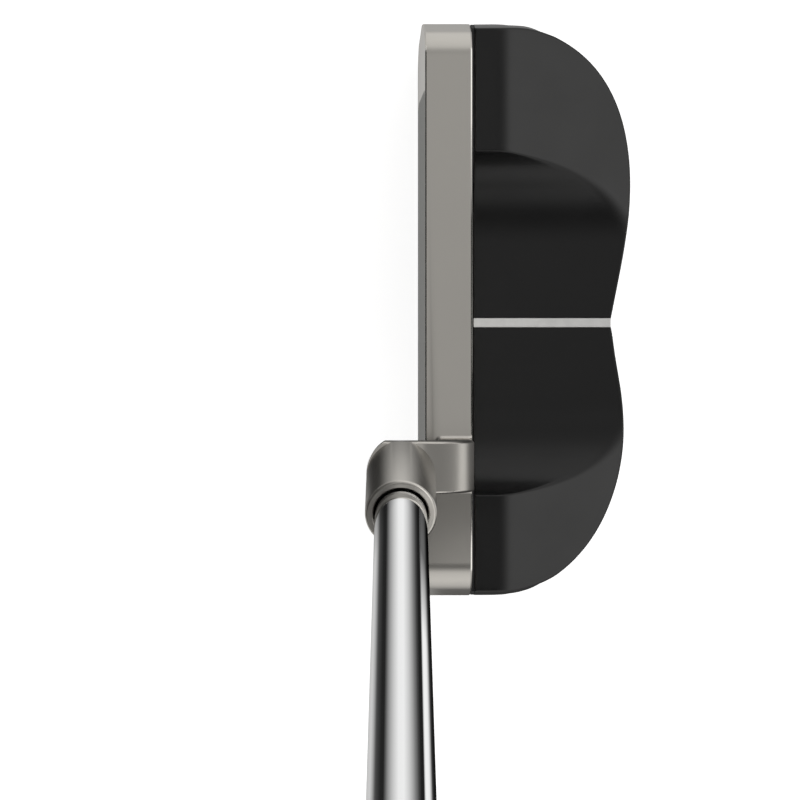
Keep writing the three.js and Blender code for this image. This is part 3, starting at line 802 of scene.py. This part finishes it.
def rear_body():
    """Black body: drafted walls, broken top edge, scooped top and rising sole."""
    sides, side_normals = head_plan(BODY_FRONT, 0.4)
    # The front edge runs back from heel to toe, its points packed closer at the channel's edges.
    front_x = np.concatenate([
        np.arange(HEEL_X - 0.8, CHANNEL_HEEL_X + 1.2, -0.8),
        np.linspace(CHANNEL_HEEL_X + 1, CHANNEL_HEEL_X - 3, 41),
        np.arange(CHANNEL_HEEL_X - 3.5, CHANNEL_TOE_X + 3.2, -0.6),
        np.linspace(CHANNEL_TOE_X + 3, CHANNEL_TOE_X - 1, 41),
        np.arange(CHANNEL_TOE_X - 1.5, TOE_X + 0.5, -0.8),
    ])
    fade = 14.0
    toe_pull = np.clip(1 - (front_x - TOE_X) / fade, 0, 1)
    heel_pull = np.clip(1 - (HEEL_X - front_x) / fade, 0, 1)
    front_pull = heel_pull - toe_pull
    outline = np.concatenate([sides, at_height(front_x, BODY_FRONT)])
    pull = np.concatenate([side_normals, np.column_stack([front_pull, np.zeros(len(front_x))])])
    edge = pull.copy()
    edge[len(sides):] = (0, -1)
    edge[len(sides) - 1] = (1, -1)
    edge[0] = (-1, -1)

    bottom = sole_height(outline[:, 1])
    top = top_height(outline[:, 0], outline[:, 1])
    shoulder = 0.4
    widest = np.minimum(WAIST_Z, top - shoulder)
    for _ in range(4):
        top_points = tucked(outline, pull, top, widest) - edge * BODY_EDGE
        top = top_height(top_points[:, 0], top_points[:, 1])
        widest = np.minimum(WAIST_Z, top - shoulder)
    rings = []
    for share in (0, 0.015, 0.04, 0.08, 0.14, 0.22, 0.32, 0.45, 0.6, 0.75, 0.87, 1.0):
        z = bottom + (top - BODY_EDGE - bottom) * share
        rings.append(at_height(tucked(outline, pull, z, widest), z))
    for angle in np.radians([22, 45, 68]):
        z = top - BODY_EDGE * (1 - math.sin(angle))
        spot = tucked(outline, pull, z, widest) - edge * BODY_EDGE * (1 - math.cos(angle))
        rings.append(at_height(spot, z))
    rings.append(at_height(top_points, top))

    count = len(outline)
    vertices = list(np.concatenate(rings))
    faces = ring_faces(len(rings), count)

    loop = rings[-1][::-1, :2]
    inner = graded_points((TOE_X, BODY_FRONT), (HEEL_X, BODY_REAR), 1.2, 0.15, 2.0)
    inner = well_inside(inner, loop, 0.14)
    cap, cap_faces = filled(loop, inner)
    height = top_height(cap[:, 0], cap[:, 1])
    height[:count] = rings[-1][::-1, 2]
    faces += shifted(cap_faces, len(vertices))
    vertices += list(at_height(cap, height))

    loop = rings[0][::-1, :2]
    xs, ys = np.arange(TOE_X, HEEL_X, 2.5), np.arange(BODY_FRONT, BODY_REAR, 1.0)
    inner = well_inside(np.stack(np.meshgrid(xs, ys), -1).reshape(-1, 2), loop, 0.5)
    cap, cap_faces = filled(loop, inner)
    faces += shifted(cap_faces, len(vertices))
    vertices += list(at_height(cap, sole_height(cap[:, 1])))
    body = object_from("rear_body_shell", vertices, faces)

    body = combined(body, block("step", (-90, -40, -20), (90, PARTING_Y, PARTING_Z)), "DIFFERENCE")
    cutters = [block("groove", (-GROOVE_HALF_WIDTH, -40, GROOVE_FLOOR_Z), (GROOVE_HALF_WIDTH, 60, 60))]
    for name, radius, high in (
        *((weight, WEIGHT_RADIUS + HARDWARE_GAP, WEIGHT_TOP_Z + HARDWARE_GAP) for weight in WEIGHTS),
        *((screw, SCREW_RADIUS + HARDWARE_GAP, SCREW_TOP_Z + 0.2) for screw in SCREWS),
    ):
        cutters.append(centred(turned("hole", [(radius, 0.5), (radius, high)], 64), name))
    body = combined(body, merged("cutters", cutters), "DIFFERENCE")
    return finished(smoothed(body, 34), BLACK, "black_aluminium", "rear_body")


rear_body()


def bond_film():
    """Dark film that fills the joint between the steel and the rear body."""
    levels = np.linspace(TONGUE_TOP + FILM_SUNK, BAND_Z - FILM_SUNK, 40)
    toe = REAR_LOW[0] + np.interp(levels, INSET_LEVELS, TOE_INSETS) + FILM_MARGIN
    heel = REAR_HIGH[0] - np.interp(levels, INSET_LEVELS, HEEL_INSETS) - FILM_MARGIN
    across = np.linspace(toe[-1], heel[-1], 400)[1:-1]
    outline = np.concatenate([
        np.column_stack([toe, levels]),
        np.column_stack([across, top_height(across, BODY_FRONT) - FILM_SUNK]),
        np.column_stack([heel, levels])[::-1],
    ])
    rings = [
        np.array([(x, y, z) for x, z in outline])
        for y in (TOPLINE_REAR + FILM_GAP, BODY_FRONT - FILM_GAP)
    ]
    return finished(smoothed(loft("film", rings), 40), FILM, "bond_film", "body_bond_film")


bond_film()


def alignment_line():
    """White strip in the channel's groove, its long edges rounded."""
    low, high = span("alignment_line")
    edge = 0.12
    points, normals = rounded_polygon([
        (x, y, 0.2) for x, y in ((high[0], low[1]), (high[0], high[1]), (low[0], high[1]), (low[0], low[1]))
    ], 0.08)
    rings = [at_height(points, low[2])]
    for angle in np.linspace(0, math.pi / 2, 5):
        spot = points - normals * edge * (1 - math.cos(angle))
        rings.append(at_height(spot, high[2] - edge * (1 - math.sin(angle))))
    line = loft("alignment_line_fill", rings)
    return finished(smoothed(line, 40), WHITE, "white_fill", "alignment_line")


alignment_line()


# ---------------------------------------------------------------- steel front and neck

def face_y(z):
    return LEADING_EDGE + z * math.tan(LOFT)


def insert_outline(grow):
    radius = INSERT_CORNER + grow
    left, right = INSERT_TOE_X - grow, INSERT_HEEL_X + grow
    low, high = INSERT_BOTTOM - grow, INSERT_TOP + grow
    corners = ((right, high), (left, high), (left, low), (right, low))
    return rounded_polygon([(*corner, radius) for corner in corners])


def blade():
    """Steel front without its neck: lofted face with the insert's pocket, rounded ends."""
    outline, normals = head_outline(TOP_Z, TOP_CORNER_RADIUS)
    low = smooth_step(-normals[:, 1], 0.2, 0.9)[:, None]
    front_break = EDGE_BREAK + (LEADING_RADIUS - EDGE_BREAK) * low

    def section(inset, y):
        spot = outline - normals * inset
        return np.column_stack([spot[:, 0], y(spot[:, 1]), spot[:, 1]])

    rings = []
    for angle in np.radians([0, 22, 45, 68, 90]):
        # Round along the leading edge, a flat chamfer everywhere else.
        share = angle / (math.pi / 2)
        inset = front_break * ((1 - math.sin(angle)) * low + (1 - share) * (1 - low))
        depth = (front_break * ((1 - math.cos(angle)) * low + share * (1 - low)))[:, 0]
        rings.append(section(inset, lambda z: face_y(z) + depth))
    rings.append(section(0, lambda z: np.full_like(z, TOPLINE_REAR - EDGE_BREAK)))
    rings.append(section(EDGE_BREAK, lambda z: np.full_like(z, TOPLINE_REAR)))

    count = len(outline)
    vertices = list(np.concatenate(rings))
    faces = ring_faces(len(rings), count)
    faces.append(tuple(range((len(rings) - 1) * count, len(rings) * count)))

    cosine = math.cos(LOFT)
    mouth, _ = insert_outline(POCKET_GAP + POCKET_EDGE)
    hole, _ = insert_outline(POCKET_GAP)
    loop = rings[0][:, [0, 2]]
    cap, cap_faces = filled(loop, hole=mouth * (1, cosine))
    faces += shifted(cap_faces, len(vertices))
    vertices += [(x, face_y(z), z) for x, z in cap]
    first = len(vertices)
    for ring, depth in ((mouth, 0), (hole, POCKET_EDGE), (hole, POCKET_DEPTH)):
        vertices += [(x, face_y(z * cosine) + depth, z * cosine) for x, z in ring]
    faces += shifted(ring_faces(3, len(mouth)), first)
    faces.append(tuple(range(first + 2 * len(mouth), first + 3 * len(mouth))))
    return object_from("blade", vertices, faces)


def tongue():
    """Steel sole plate that runs back under the rear body."""
    sides, normals = head_plan(TOPLINE_REAR - 2, 0.6)
    widest = np.full(len(sides), WAIST_Z)
    rings = []
    for z in (0, 0.1, 0.3, 0.6, 1.0, 1.6, 2.4, 3.2, TONGUE_TOP):
        rings.append(at_height(tucked(sides, normals, np.full(len(sides), z), widest), z))
    plate = loft("tongue", rings)
    return combined(plate, block("keep", (-90, -40, -20), (90, TONGUE_REAR, 20)), "INTERSECT")


def neck_arm():
    """Bent arm from the blade to the hosel, its outline rounded along both flanks."""
    buried = STEM_EDGE + 0.05
    points, normals = rounded_polygon([
        (TOPLINE_REAR, TOP_Z - 3, buried),
        (TOPLINE_REAR, ARM_TOP_Z, ARM_SHOULDER),
        (SHAFT_Y - 20, ARM_TOP_Z, buried),
        (SHAFT_Y - 20, ARM_UNDERSIDE_Z, buried),
        (STEM_FRONT, ARM_UNDERSIDE_Z, ARM_THROAT),
        (STEM_FRONT, TOP_Z - 3, buried),
    ], 0.25)
    rings = []
    toe_turn = [(STEM_TOE_X, angle) for angle in np.linspace(0, math.pi / 2, 5)]
    heel_turn = [(STEM_HEEL_X, angle) for angle in np.linspace(math.pi / 2, 0, 5)]
    for x, angle in toe_turn + heel_turn:
        spot = points - normals * STEM_EDGE * (1 - math.sin(angle))
        inward = 1 if x == STEM_TOE_X else -1
        x = x + inward * STEM_EDGE * (1 - math.cos(angle))
        rings.append(np.column_stack([np.full(len(spot), x), spot]))
    arm = loft("neck_arm", rings)
    # Its front end follows the barrel's round.
    middle = SHAFT_GROUND_X + BARREL_BASE_Z * math.tan(LEAN)
    angles = np.linspace(math.pi, 2 * math.pi, 65)
    curve = [
        (middle + math.cos(a) * BARREL_RADIUS / math.cos(LEAN), SHAFT_Y + math.sin(a) * BARREL_RADIUS)
        for a in angles
    ]
    plan = [*curve, (curve[-1][0], 20), (curve[0][0], 20)]
    keep = loft("keep", [np.array([(*point, z) for point in plan]) for z in (0, 70)])
    return combined(arm, keep, "INTERSECT")


def base_fillet():
    """Small weld-like fillet where the neck stands on the topline."""
    rings = []
    for turn in np.linspace(0, math.pi / 2, 7):
        grow = BASE_FILLET * (1 - math.sin(turn))
        corner = STEM_EDGE + grow
        left, right = STEM_TOE_X - grow, STEM_HEEL_X + grow
        points, _ = rounded_polygon([
            (right, TOPLINE_REAR - 0.05, 0.02), (left, TOPLINE_REAR - 0.05, 0.02),
            (left, STEM_FRONT - grow, corner), (right, STEM_FRONT - grow, corner),
        ], 0.12)
        rings.append(points)
    count = min(len(ring) for ring in rings)
    even = []
    for ring in rings:
        closed = np.vstack([ring, ring[:1]])
        place = np.concatenate([[0], np.cumsum(np.linalg.norm(np.diff(closed, axis=0), axis=1))])
        where = np.linspace(0, place[-1], 4 * count, endpoint=False)
        even.append(np.column_stack([np.interp(where, place, closed[:, axis]) for axis in (0, 1)]))
    stack = [at_height(even[0], TOP_Z - 1)]
    for turn, ring in zip(np.linspace(0, math.pi / 2, 7), even):
        stack.append(at_height(ring, TOP_Z + BASE_FILLET * (1 - math.cos(turn))))
    return loft("base_fillet", stack)


def barrel():
    """Round hosel along the shaft, cut level on the arm's rounded end and square on its toe flat."""
    profile = [(BARREL_RADIUS, BORE_BOTTOM - 25)]
    for angle in np.linspace(0, math.pi / 2, 6):
        radius = BARREL_RADIUS - RIM_EDGE * (1 - math.cos(angle))
        profile.append((radius, RIM_HEIGHT - RIM_EDGE * (1 - math.sin(angle))))
    hosel = moved(turned("barrel", profile, 160), SHAFT_FRAME)
    keep = block("keep", (STEM_TOE_X, -60, BARREL_BASE_Z), (90, 40, 120))
    return combined(hosel, keep, "INTERSECT")


def sole_holes():
    """Cutters for the weights and the countersunk screws through the sole plate."""
    radius = WEIGHT_RADIUS + HARDWARE_GAP
    weight_hole = [(radius + 0.3, -0.3), (radius + 0.2, 0), (radius, 0.2), (radius, 5)]
    head, shank = SCREW_HEAD_RADIUS + 0.15, SCREW_RADIUS + HARDWARE_GAP
    screw_hole = [(head, -0.3), (head, 0.6), (shank, 2.2), (shank, 5)]
    holes = [centred(turned("hole", weight_hole, 96), name) for name in WEIGHTS]
    return holes + [centred(turned("hole", screw_hole, 64), name) for name in SCREWS]


def steel_front():
    """Face, neck and sole plate joined, then bored for the shaft and the sole hardware."""
    body = blade()
    for addition in (tongue, neck_arm, base_fillet, barrel):
        body = combined(body, addition(), "UNION")
    bore = turned("bore", [
        (BORE_RADIUS, BORE_BOTTOM), (BORE_RADIUS, RIM_HEIGHT - COUNTERSINK),
        (BORE_RADIUS + COUNTERSINK + 0.1, RIM_HEIGHT + 0.1), (BORE_RADIUS + COUNTERSINK + 0.1, RIM_HEIGHT + 5),
    ], 160)
    cutters = merged("cutters", [moved(bore, SHAFT_FRAME), *sole_holes()])
    body = combined(body, cutters, "DIFFERENCE")
    body = finished(smoothed(body, 28), STEEL, "blasted_steel", "face_neck_body")
    # The topline's long chamfers are left bright from the mill.
    body.data.materials.append(BRIGHT_EDGE)
    low, high = (TOP_Z - 0.4) * MM, (TOP_Z + 0.02) * MM
    for face in body.data.polygons:
        if low < face.center.z < high and 0.5 < abs(face.normal.y) < 0.85:
            face.material_index = 1
    return body


steel_front()


def face_insert():
    """Milled striking plate, its rim broken, level with the face."""
    rings = []
    for angle in np.linspace(0, math.pi / 2, 4):
        spot, _ = insert_outline(-INSERT_RIM * (1 - math.sin(angle)))
        rings.append([(x, INSERT_RIM * (1 - math.cos(angle)), z) for x, z in spot])
    spot, _ = insert_outline(0)
    rings.append([(x, INSERT_THICKNESS, z) for x, z in spot])
    insert = moved(loft("face_insert_plate", [np.array(ring) for ring in rings]), FACE_FRAME)
    return finished(smoothed(insert, 40), INSERT, "insert_face", "face_insert")


face_insert()


# ---------------------------------------------------------------- sole hardware

def hexagon(across, low, high):
    return turned("hexagon", [(across / math.sqrt(3), low), (across / math.sqrt(3), high)], 6)


def sole_weight(name):
    """Threaded plug with a hexagon socket and a turned groove round it."""
    base = span(name)[0][2]
    profile = [(2.95, base + 0.35), (3.3, base), (5.2, base), (5.35, base + 0.15), (5.5, base)]
    edge = 0.5
    for angle in np.linspace(math.pi / 2, 0, 6):
        profile.append((WEIGHT_RADIUS - edge * (1 - math.cos(angle)), base + edge * (1 - math.sin(angle))))
    for height in np.arange(base + 1.6, WEIGHT_TOP_Z - 1, 0.8):
        for depth, rise in ((0, 0), (0.22, 0.25), (0, 0.5)):
            profile.append((WEIGHT_RADIUS - depth, height + rise))
    profile += [(WEIGHT_RADIUS, WEIGHT_TOP_Z - edge), (WEIGHT_RADIUS - edge, WEIGHT_TOP_Z)]
    plug = combined(turned("weight", profile, 96), hexagon(5.0, base - 1, base + 3.0), "DIFFERENCE")
    plug.name = name + "_plug"
    return finished(smoothed(centred(plug, name), 30), WEIGHT, "weight_steel", name)


def body_screw(name):
    """Countersunk screw with a hexagon socket and a rolled thread."""
    base = span(name)[0][2]
    profile = [
        (3.3, base), (SCREW_HEAD_RADIUS, base + 0.25), (SCREW_HEAD_RADIUS, base + 0.35),
        (SCREW_RADIUS, base + 1.95),
    ]
    thread = 0.7
    for height in np.arange(base + 2.6, SCREW_TOP_Z - 0.6, thread):
        profile += [(SCREW_RADIUS, height), (SCREW_RADIUS - 0.35, height + thread / 2)]
    profile += [(SCREW_RADIUS - 0.1, SCREW_TOP_Z - 0.3), (SCREW_RADIUS - 0.5, SCREW_TOP_Z)]
    screw = combined(turned("screw", profile, 64), hexagon(2.5, base - 1, base + 1.3), "DIFFERENCE")
    screw.name = name + "_turned"
    return finished(smoothed(centred(screw, name), 30), SCREW, "screw_steel", name)


for weight_name in WEIGHTS:
    sole_weight(weight_name)
for screw_name in SCREWS:
    body_screw(screw_name)


# ---------------------------------------------------------------- shaft

def shaft():
    """Chromed steel tube whose outside grows in small rolled steps."""
    ramp = 1.6
    outside = [
        (TIP_RADIUS - 0.3, SHAFT_START), (TIP_RADIUS, SHAFT_START + 0.3), (TIP_RADIUS, RIM_HEIGHT + 10),
    ]
    for number in range(STEP_COUNT):
        radius = TIP_RADIUS + number * STEP_RISE
        start = TIP_END + number * STEP_LENGTH
        for share in np.linspace(0, 1, 6):
            outside.append((radius + STEP_RISE * float(smooth_step(share, 0, 1)), start + ramp * share))
        outside.append((radius + STEP_RISE, start + STEP_LENGTH - 0.5))
    outside = [point for point in outside if point[1] < SHAFT_STOP - 1] + [(BUTT_RADIUS, SHAFT_STOP)]
    inside = [
        (BUTT_RADIUS - WALL, SHAFT_STOP), (BUTT_RADIUS - WALL, TIP_END + STEP_COUNT * STEP_LENGTH),
        (TIP_RADIUS - WALL, TIP_END), (TIP_RADIUS - WALL, SHAFT_START),
    ]
    tube = moved(turned("shaft_tube", outside + inside, 160, hollow=True), SHAFT_FRAME)
    return finished(smoothed(tube, 40), CHROME, "shaft_chrome", "shaft")


shaft()


# ---------------------------------------------------------------- grip

def grip_ring(fraction, z, inset, seam=False):
    """One ring round the grip: round behind, flat in front where the thumbs rest."""
    swell = float(smooth_step(fraction, 0.25, 1))
    half_width = 11.2 + 2.6 * swell
    behind = 11.6 + 3.6 * swell
    front = 10.8 + 1.4 * swell
    angles = np.arange(GRIP_SIDES) / GRIP_SIDES * 2 * math.pi
    across, along = np.sin(angles), np.cos(angles)
    reach = np.where(
        along > 0, (behind - inset) * np.abs(along)**0.92, -(front - inset) * np.abs(along)**0.4)
    width = (half_width - inset) * np.sign(across) * np.abs(across)**0.86
    if seam:
        groove = np.where(along > 0, np.clip(1 - np.abs(width) / SEAM_WIDTH, 0, 1), 0)
        reach = reach - SEAM_DEPTH * groove
    return at_height(np.column_stack([reach, width]), z)


def grip_skin():
    """Moulded skin, with a seam down its back and flat in front where the thumbs rest."""
    low, high = GRIP_START + TIP_RING + 0.3, CLUB_LENGTH - END_CAP - 0.3
    stations = np.linspace(low, high, 260)

    def fraction(z):
        return (z - GRIP_START) / GRIP_LENGTH

    outer = [grip_ring(fraction(z), z, 0.0, seam=True) for z in stations]
    edge = 0.35
    outer[0] = grip_ring(fraction(low), low, edge)
    outer.insert(1, grip_ring(fraction(low), low + edge, 0.0, seam=True))
    outer[-1] = grip_ring(fraction(high), high, edge)
    outer.insert(-1, grip_ring(fraction(high), high - edge, 0.0, seam=True))
    inner = [grip_ring(fraction(z), z, SKIN_THICKNESS) for z in stations[::-8]]
    inner.append(grip_ring(fraction(low), low, SKIN_THICKNESS))
    rings = outer + inner
    faces = ring_faces(len(rings), GRIP_SIDES, closed=True)
    skin = object_from("grip_skin_moulded", np.concatenate(rings), faces)
    return finished(smoothed(moved(skin, SHAFT_FRAME), 50), GRIP, "grip_skin", "grip_skin")


def grip_tip_ring():
    """Collar at the grip's lower end, with a groove round it and a bore for the shaft."""
    fraction = TIP_RING / GRIP_LENGTH
    levels = [
        (0, 0, 1.3), (0, 0.35, 0.75), (0, 0.8, 0.45), (0, 1.2, 0.3), (fraction / 2, 3.2, 0.12),
        (fraction / 2, 3.4, 0.45), (fraction / 2, 3.7, 0.45), (fraction / 2, 3.9, 0.1),
        (fraction, TIP_RING - 0.3, 0.02), (fraction, TIP_RING, 0.3),
    ]
    rings = [grip_ring(along, GRIP_START + height, inset) for along, height, inset in levels]
    collar = loft("grip_tip_collar", rings)
    radius = BUTT_RADIUS + 0.3
    bore = turned("bore", [(radius, GRIP_START - 2), (radius, GRIP_START + TIP_RING + 2)], 144)
    collar = combined(collar, bore, "DIFFERENCE")
    return finished(smoothed(moved(collar, SHAFT_FRAME), 40), TRIM, "grip_trim", "grip_tip_ring")


def grip_end_cap():
    """Domed butt cap with a groove round it and a vent hole."""
    low = CLUB_LENGTH - END_CAP
    levels = [
        (0, 0.3), (0.3, 0.02), (1.6, 0.02), (2.6, 0.1), (3.2, 0.35), (3.7, 0.75), (4.1, 1.15), (4.4, 1.75),
        (4.62, 2.4), (4.75, 3.0), (4.85, 3.9), (4.9, 4.8), (4.62, 5.2), (4.62, 6.2), (4.92, 6.6), (5.0, 8.6),
    ]
    cap = loft("grip_butt_cap", [grip_ring(1, low + height, inset) for height, inset in levels])
    vent = turned("vent", [(1.5, low - 1), (1.5, low + 4.6), (2.2, low + 5.3), (2.2, low + 7)], 64)
    cap = combined(cap, vent, "DIFFERENCE")
    return finished(smoothed(moved(cap, SHAFT_FRAME), 40), TRIM, "grip_trim", "grip_end_cap")


grip_skin()
grip_tip_ring()
grip_end_cap()


# ---------------------------------------------------------------- layers kept from the frame

for node_name, layer in {
    "insert_backer": BACKER, "insert_bond_tape": FILM, "shaft_tip_plug": PLUG,
    "grip_core": FOAM, "grip_tape": FILM,
}.items():
    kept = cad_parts[node_name]
    kept.data.materials.clear()
    kept.data.materials.append(layer)


# ---------------------------------------------------------------- stage

def floor():
    """Pale floor that glows: a painted pool of light, brightest round the object and greyer further off."""
    corners = [(x * FLOOR_SIZE, y * FLOOR_SIZE, 0) for x, y in ((-1, -1), (1, -1), (1, 1), (-1, 1))]
    piece = object_from("floor", corners, [(0, 1, 2, 3)])
    material = new_material("pale_floor", (0.85, 0.85, 0.85), 0.0, 0.9)
    tree = material.node_tree
    shader = tree.nodes["Principled BSDF"]
    shader.inputs["Specular IOR Level"].default_value = 0.0
    shader.inputs["Emission Color"].default_value = (1, 1, 1, 1)
    distance = node(tree, "ShaderNodeVectorMath", {0: object_place(tree)}, operation="LENGTH")
    glow = ranged(
        tree, distance.outputs["Value"], 0.15, 1.6, 0.80, 0.35, interpolation_type="SMOOTHSTEP")
    # Painted pool of light: the floor's own glow is strongest round the object and fades further off.
    tree.links.new(glow, shader.inputs["Emission Strength"])
    piece.data.materials.append(material)


def card(name, corners, bright):
    """Flat card there only to be mirrored; bright gives its shader a strength socket or number."""
    mesh = bpy.data.meshes.new(name)
    mesh.from_pydata([tuple(value * MM for value in corner) for corner in corners], [], [(0, 1, 2, 3)])
    piece = bpy.data.objects.new(name, mesh)
    bpy.context.scene.collection.objects.link(piece)
    material = bpy.data.materials.new(name)
    material.use_nodes = True
    tree = material.node_tree
    tree.nodes.remove(tree.nodes["Principled BSDF"])
    level = bright(tree) if callable(bright) else bright
    glow = node(tree, "ShaderNodeEmission", {"Color": (1, 0.997, 0.99, 1), "Strength": level})
    glow = glow.outputs["Emission"]
    clear = node(tree, "ShaderNodeBsdfTransparent").outputs["BSDF"]
    back = node(tree, "ShaderNodeNewGeometry").outputs["Backfacing"]
    both = node(tree, "ShaderNodeMixShader", {0: back, 1: glow, 2: clear}).outputs["Shader"]
    tree.links.new(both, tree.nodes["Material Output"].inputs["Surface"])
    piece.data.materials.append(material)
    for ray in ("camera", "diffuse", "shadow", "transmission"):
        setattr(piece, "visible_" + ray, False)


def grey_curve(tree, value, stops):
    """Grey brightness over a value from 0 to 1."""
    ramp = node(tree, "ShaderNodeValToRGB", {"Fac": value})
    elements = ramp.color_ramp.elements
    for place, _ in stops[1:-1]:
        elements.new(place)
    for element, (place, level) in zip(elements, stops):
        element.position = place
        element.color = (level, level, level, 1)
    return ramp.outputs["Color"]


def shaft_surround(tree):
    """Brightness by direction round the foot of the shaft, as the chrome shows it."""
    parts = axes(tree, object_place(tree))
    shaft_x = (SHAFT_GROUND_X + SURROUND_Z * math.tan(LEAN)) * MM
    towards_toe = maths(tree, "SUBTRACT", shaft_x, parts["X"])
    rearward = maths(tree, "SUBTRACT", parts["Y"], SHAFT_Y * MM)
    turn = maths(tree, "ARCTAN2", rearward, towards_toe)
    share = maths(tree, "ADD", maths(tree, "DIVIDE", turn, 2 * math.pi), 0.5)
    stops = [((degrees + 180) / 360, level) for degrees, level in SURROUND]
    level = grey_curve(tree, share, stops)
    squares = [maths(tree, "POWER", part, 2.0) for part in (towards_toe, rearward)]
    reach = maths(tree, "SQRT", maths(tree, "ADD", *squares), 0.0)
    shade = ranged(tree, reach, 14 * MM, 28 * MM, 0.32, 1.0)
    # The rearward glint fades towards the hosel.
    glint = maths(tree, "GREATER_THAN", share, (GLINT_START + 180) / 360)
    fade = ranged(tree, reach, 30 * MM, 48 * MM, 0.85, 0.0)
    kept_share = maths(tree, "SUBTRACT", 1.0, maths(tree, "MULTIPLY", glint, fade))
    shade = maths(tree, "MULTIPLY", shade, kept_share)
    return maths(tree, "MULTIPLY", level, shade)


def floor_surround(tree):
    """Brightness of the floor as the head's walls and face mirror it."""
    parts = axes(tree, object_place(tree))
    levels = []
    for axis, stops in (("X", FLOOR_ACROSS), ("Y", FLOOR_ALONG)):
        share = ranged(tree, parts[axis], -FLOOR_REACH * MM, FLOOR_REACH * MM, 0.0, 1.0)
        stops = [((at / FLOOR_REACH + 1) / 2, level) for at, level in stops]
        levels.append(grey_curve(tree, share, stops))
    return maths(tree, "MAXIMUM", *levels)


def studio():
    """Soft studio light: brightness by direction, as large cards round the object would give."""
    world = bpy.data.worlds.new("studio")
    world.use_nodes = True
    tree = world.node_tree
    bpy.context.scene.world = world
    direction = node(tree, "ShaderNodeTexCoord").outputs["Generated"]
    parts = axes(tree, direction)

    overhead = grey_curve(tree, parts["Z"], OVERHEAD)
    around = grey_curve(tree, parts["Z"], AROUND)
    rearward = maths(tree, "ADD", maths(tree, "MULTIPLY", parts["Y"], 0.5), 0.5)
    side = grey_curve(tree, rearward, FACE_TO_REAR)
    key_axis = Vector((0, math.sin(KEY_TILT), math.cos(KEY_TILT)))
    facing = node(tree, "ShaderNodeVectorMath", {0: direction, 1: key_axis}, operation="DOT_PRODUCT")
    key = ranged(
        tree, facing.outputs["Value"], math.cos(KEY_OUTER), math.cos(KEY_INNER), 0.0, KEY_STRENGTH,
        interpolation_type="SMOOTHSTEP")
    # The overhead light is stronger towards the toe.
    tilt = maths(tree, "SUBTRACT", 1.13, maths(tree, "MULTIPLY", parts["X"], 2.4))
    overhead = maths(tree, "MULTIPLY", overhead, tilt)
    light = maths(tree, "ADD", overhead, maths(tree, "MULTIPLY", around, maths(tree, "ADD", side, key)))
    shader = tree.nodes["Background"]
    tree.links.new(light, shader.inputs["Strength"])
    shader.inputs["Color"].default_value = (1.0, 0.995, 0.985, 1)


def facing_up(x, y, z):
    """Corners of a level card over two ranges, its bright side up."""
    return [(x[0], y[0], z), (x[1], y[0], z), (x[1], y[1], z), (x[0], y[1], z)]


def facing_down(x, y, z):
    return [(x[0], y[0], z), (x[0], y[1], z), (x[1], y[1], z), (x[1], y[0], z)]


def facing_face(x, y, z):
    """Corners of an upright card over two ranges, its bright side towards the club's face side."""
    return [(x[0], y, z[0]), (x[1], y, z[0]), (x[1], y, z[1]), (x[0], y, z[1])]


floor()
card("floor_surround", facing_up((-FLOOR_REACH, FLOOR_REACH), (-FLOOR_REACH, FLOOR_REACH), FLOOR_CARD_Z),
     floor_surround)
card("shaft_surround", facing_up((-260, 300), (-290, 240), SURROUND_Z), shaft_surround)
card("rear_strip_toe", facing_face((-120, 8), 130, (4, 50)), 1.5)
card("rear_strip_heel", facing_face((52, 120), 130, (4, 50)), 1.5)
card("rim_shade", facing_down((43, 66), (-35, -20.5), 75), 0.14)
card("arm_shade", facing_down((20, 37), (-20, 14), 50), 0.27)
studio()

camera = bpy.data.objects.new("camera", bpy.data.cameras.new("camera"))
camera.location = Vector(CAMERA_PLACE) * MM
camera.rotation_euler = (0, 0, math.radians(90))
camera.data.lens = CAMERA_LENS
camera.data.sensor_width = 36
camera.data.clip_start = 0.01
bpy.context.scene.collection.objects.link(camera)
bpy.context.scene.camera = camera
bpy.context.scene.view_settings.view_transform = "Standard"
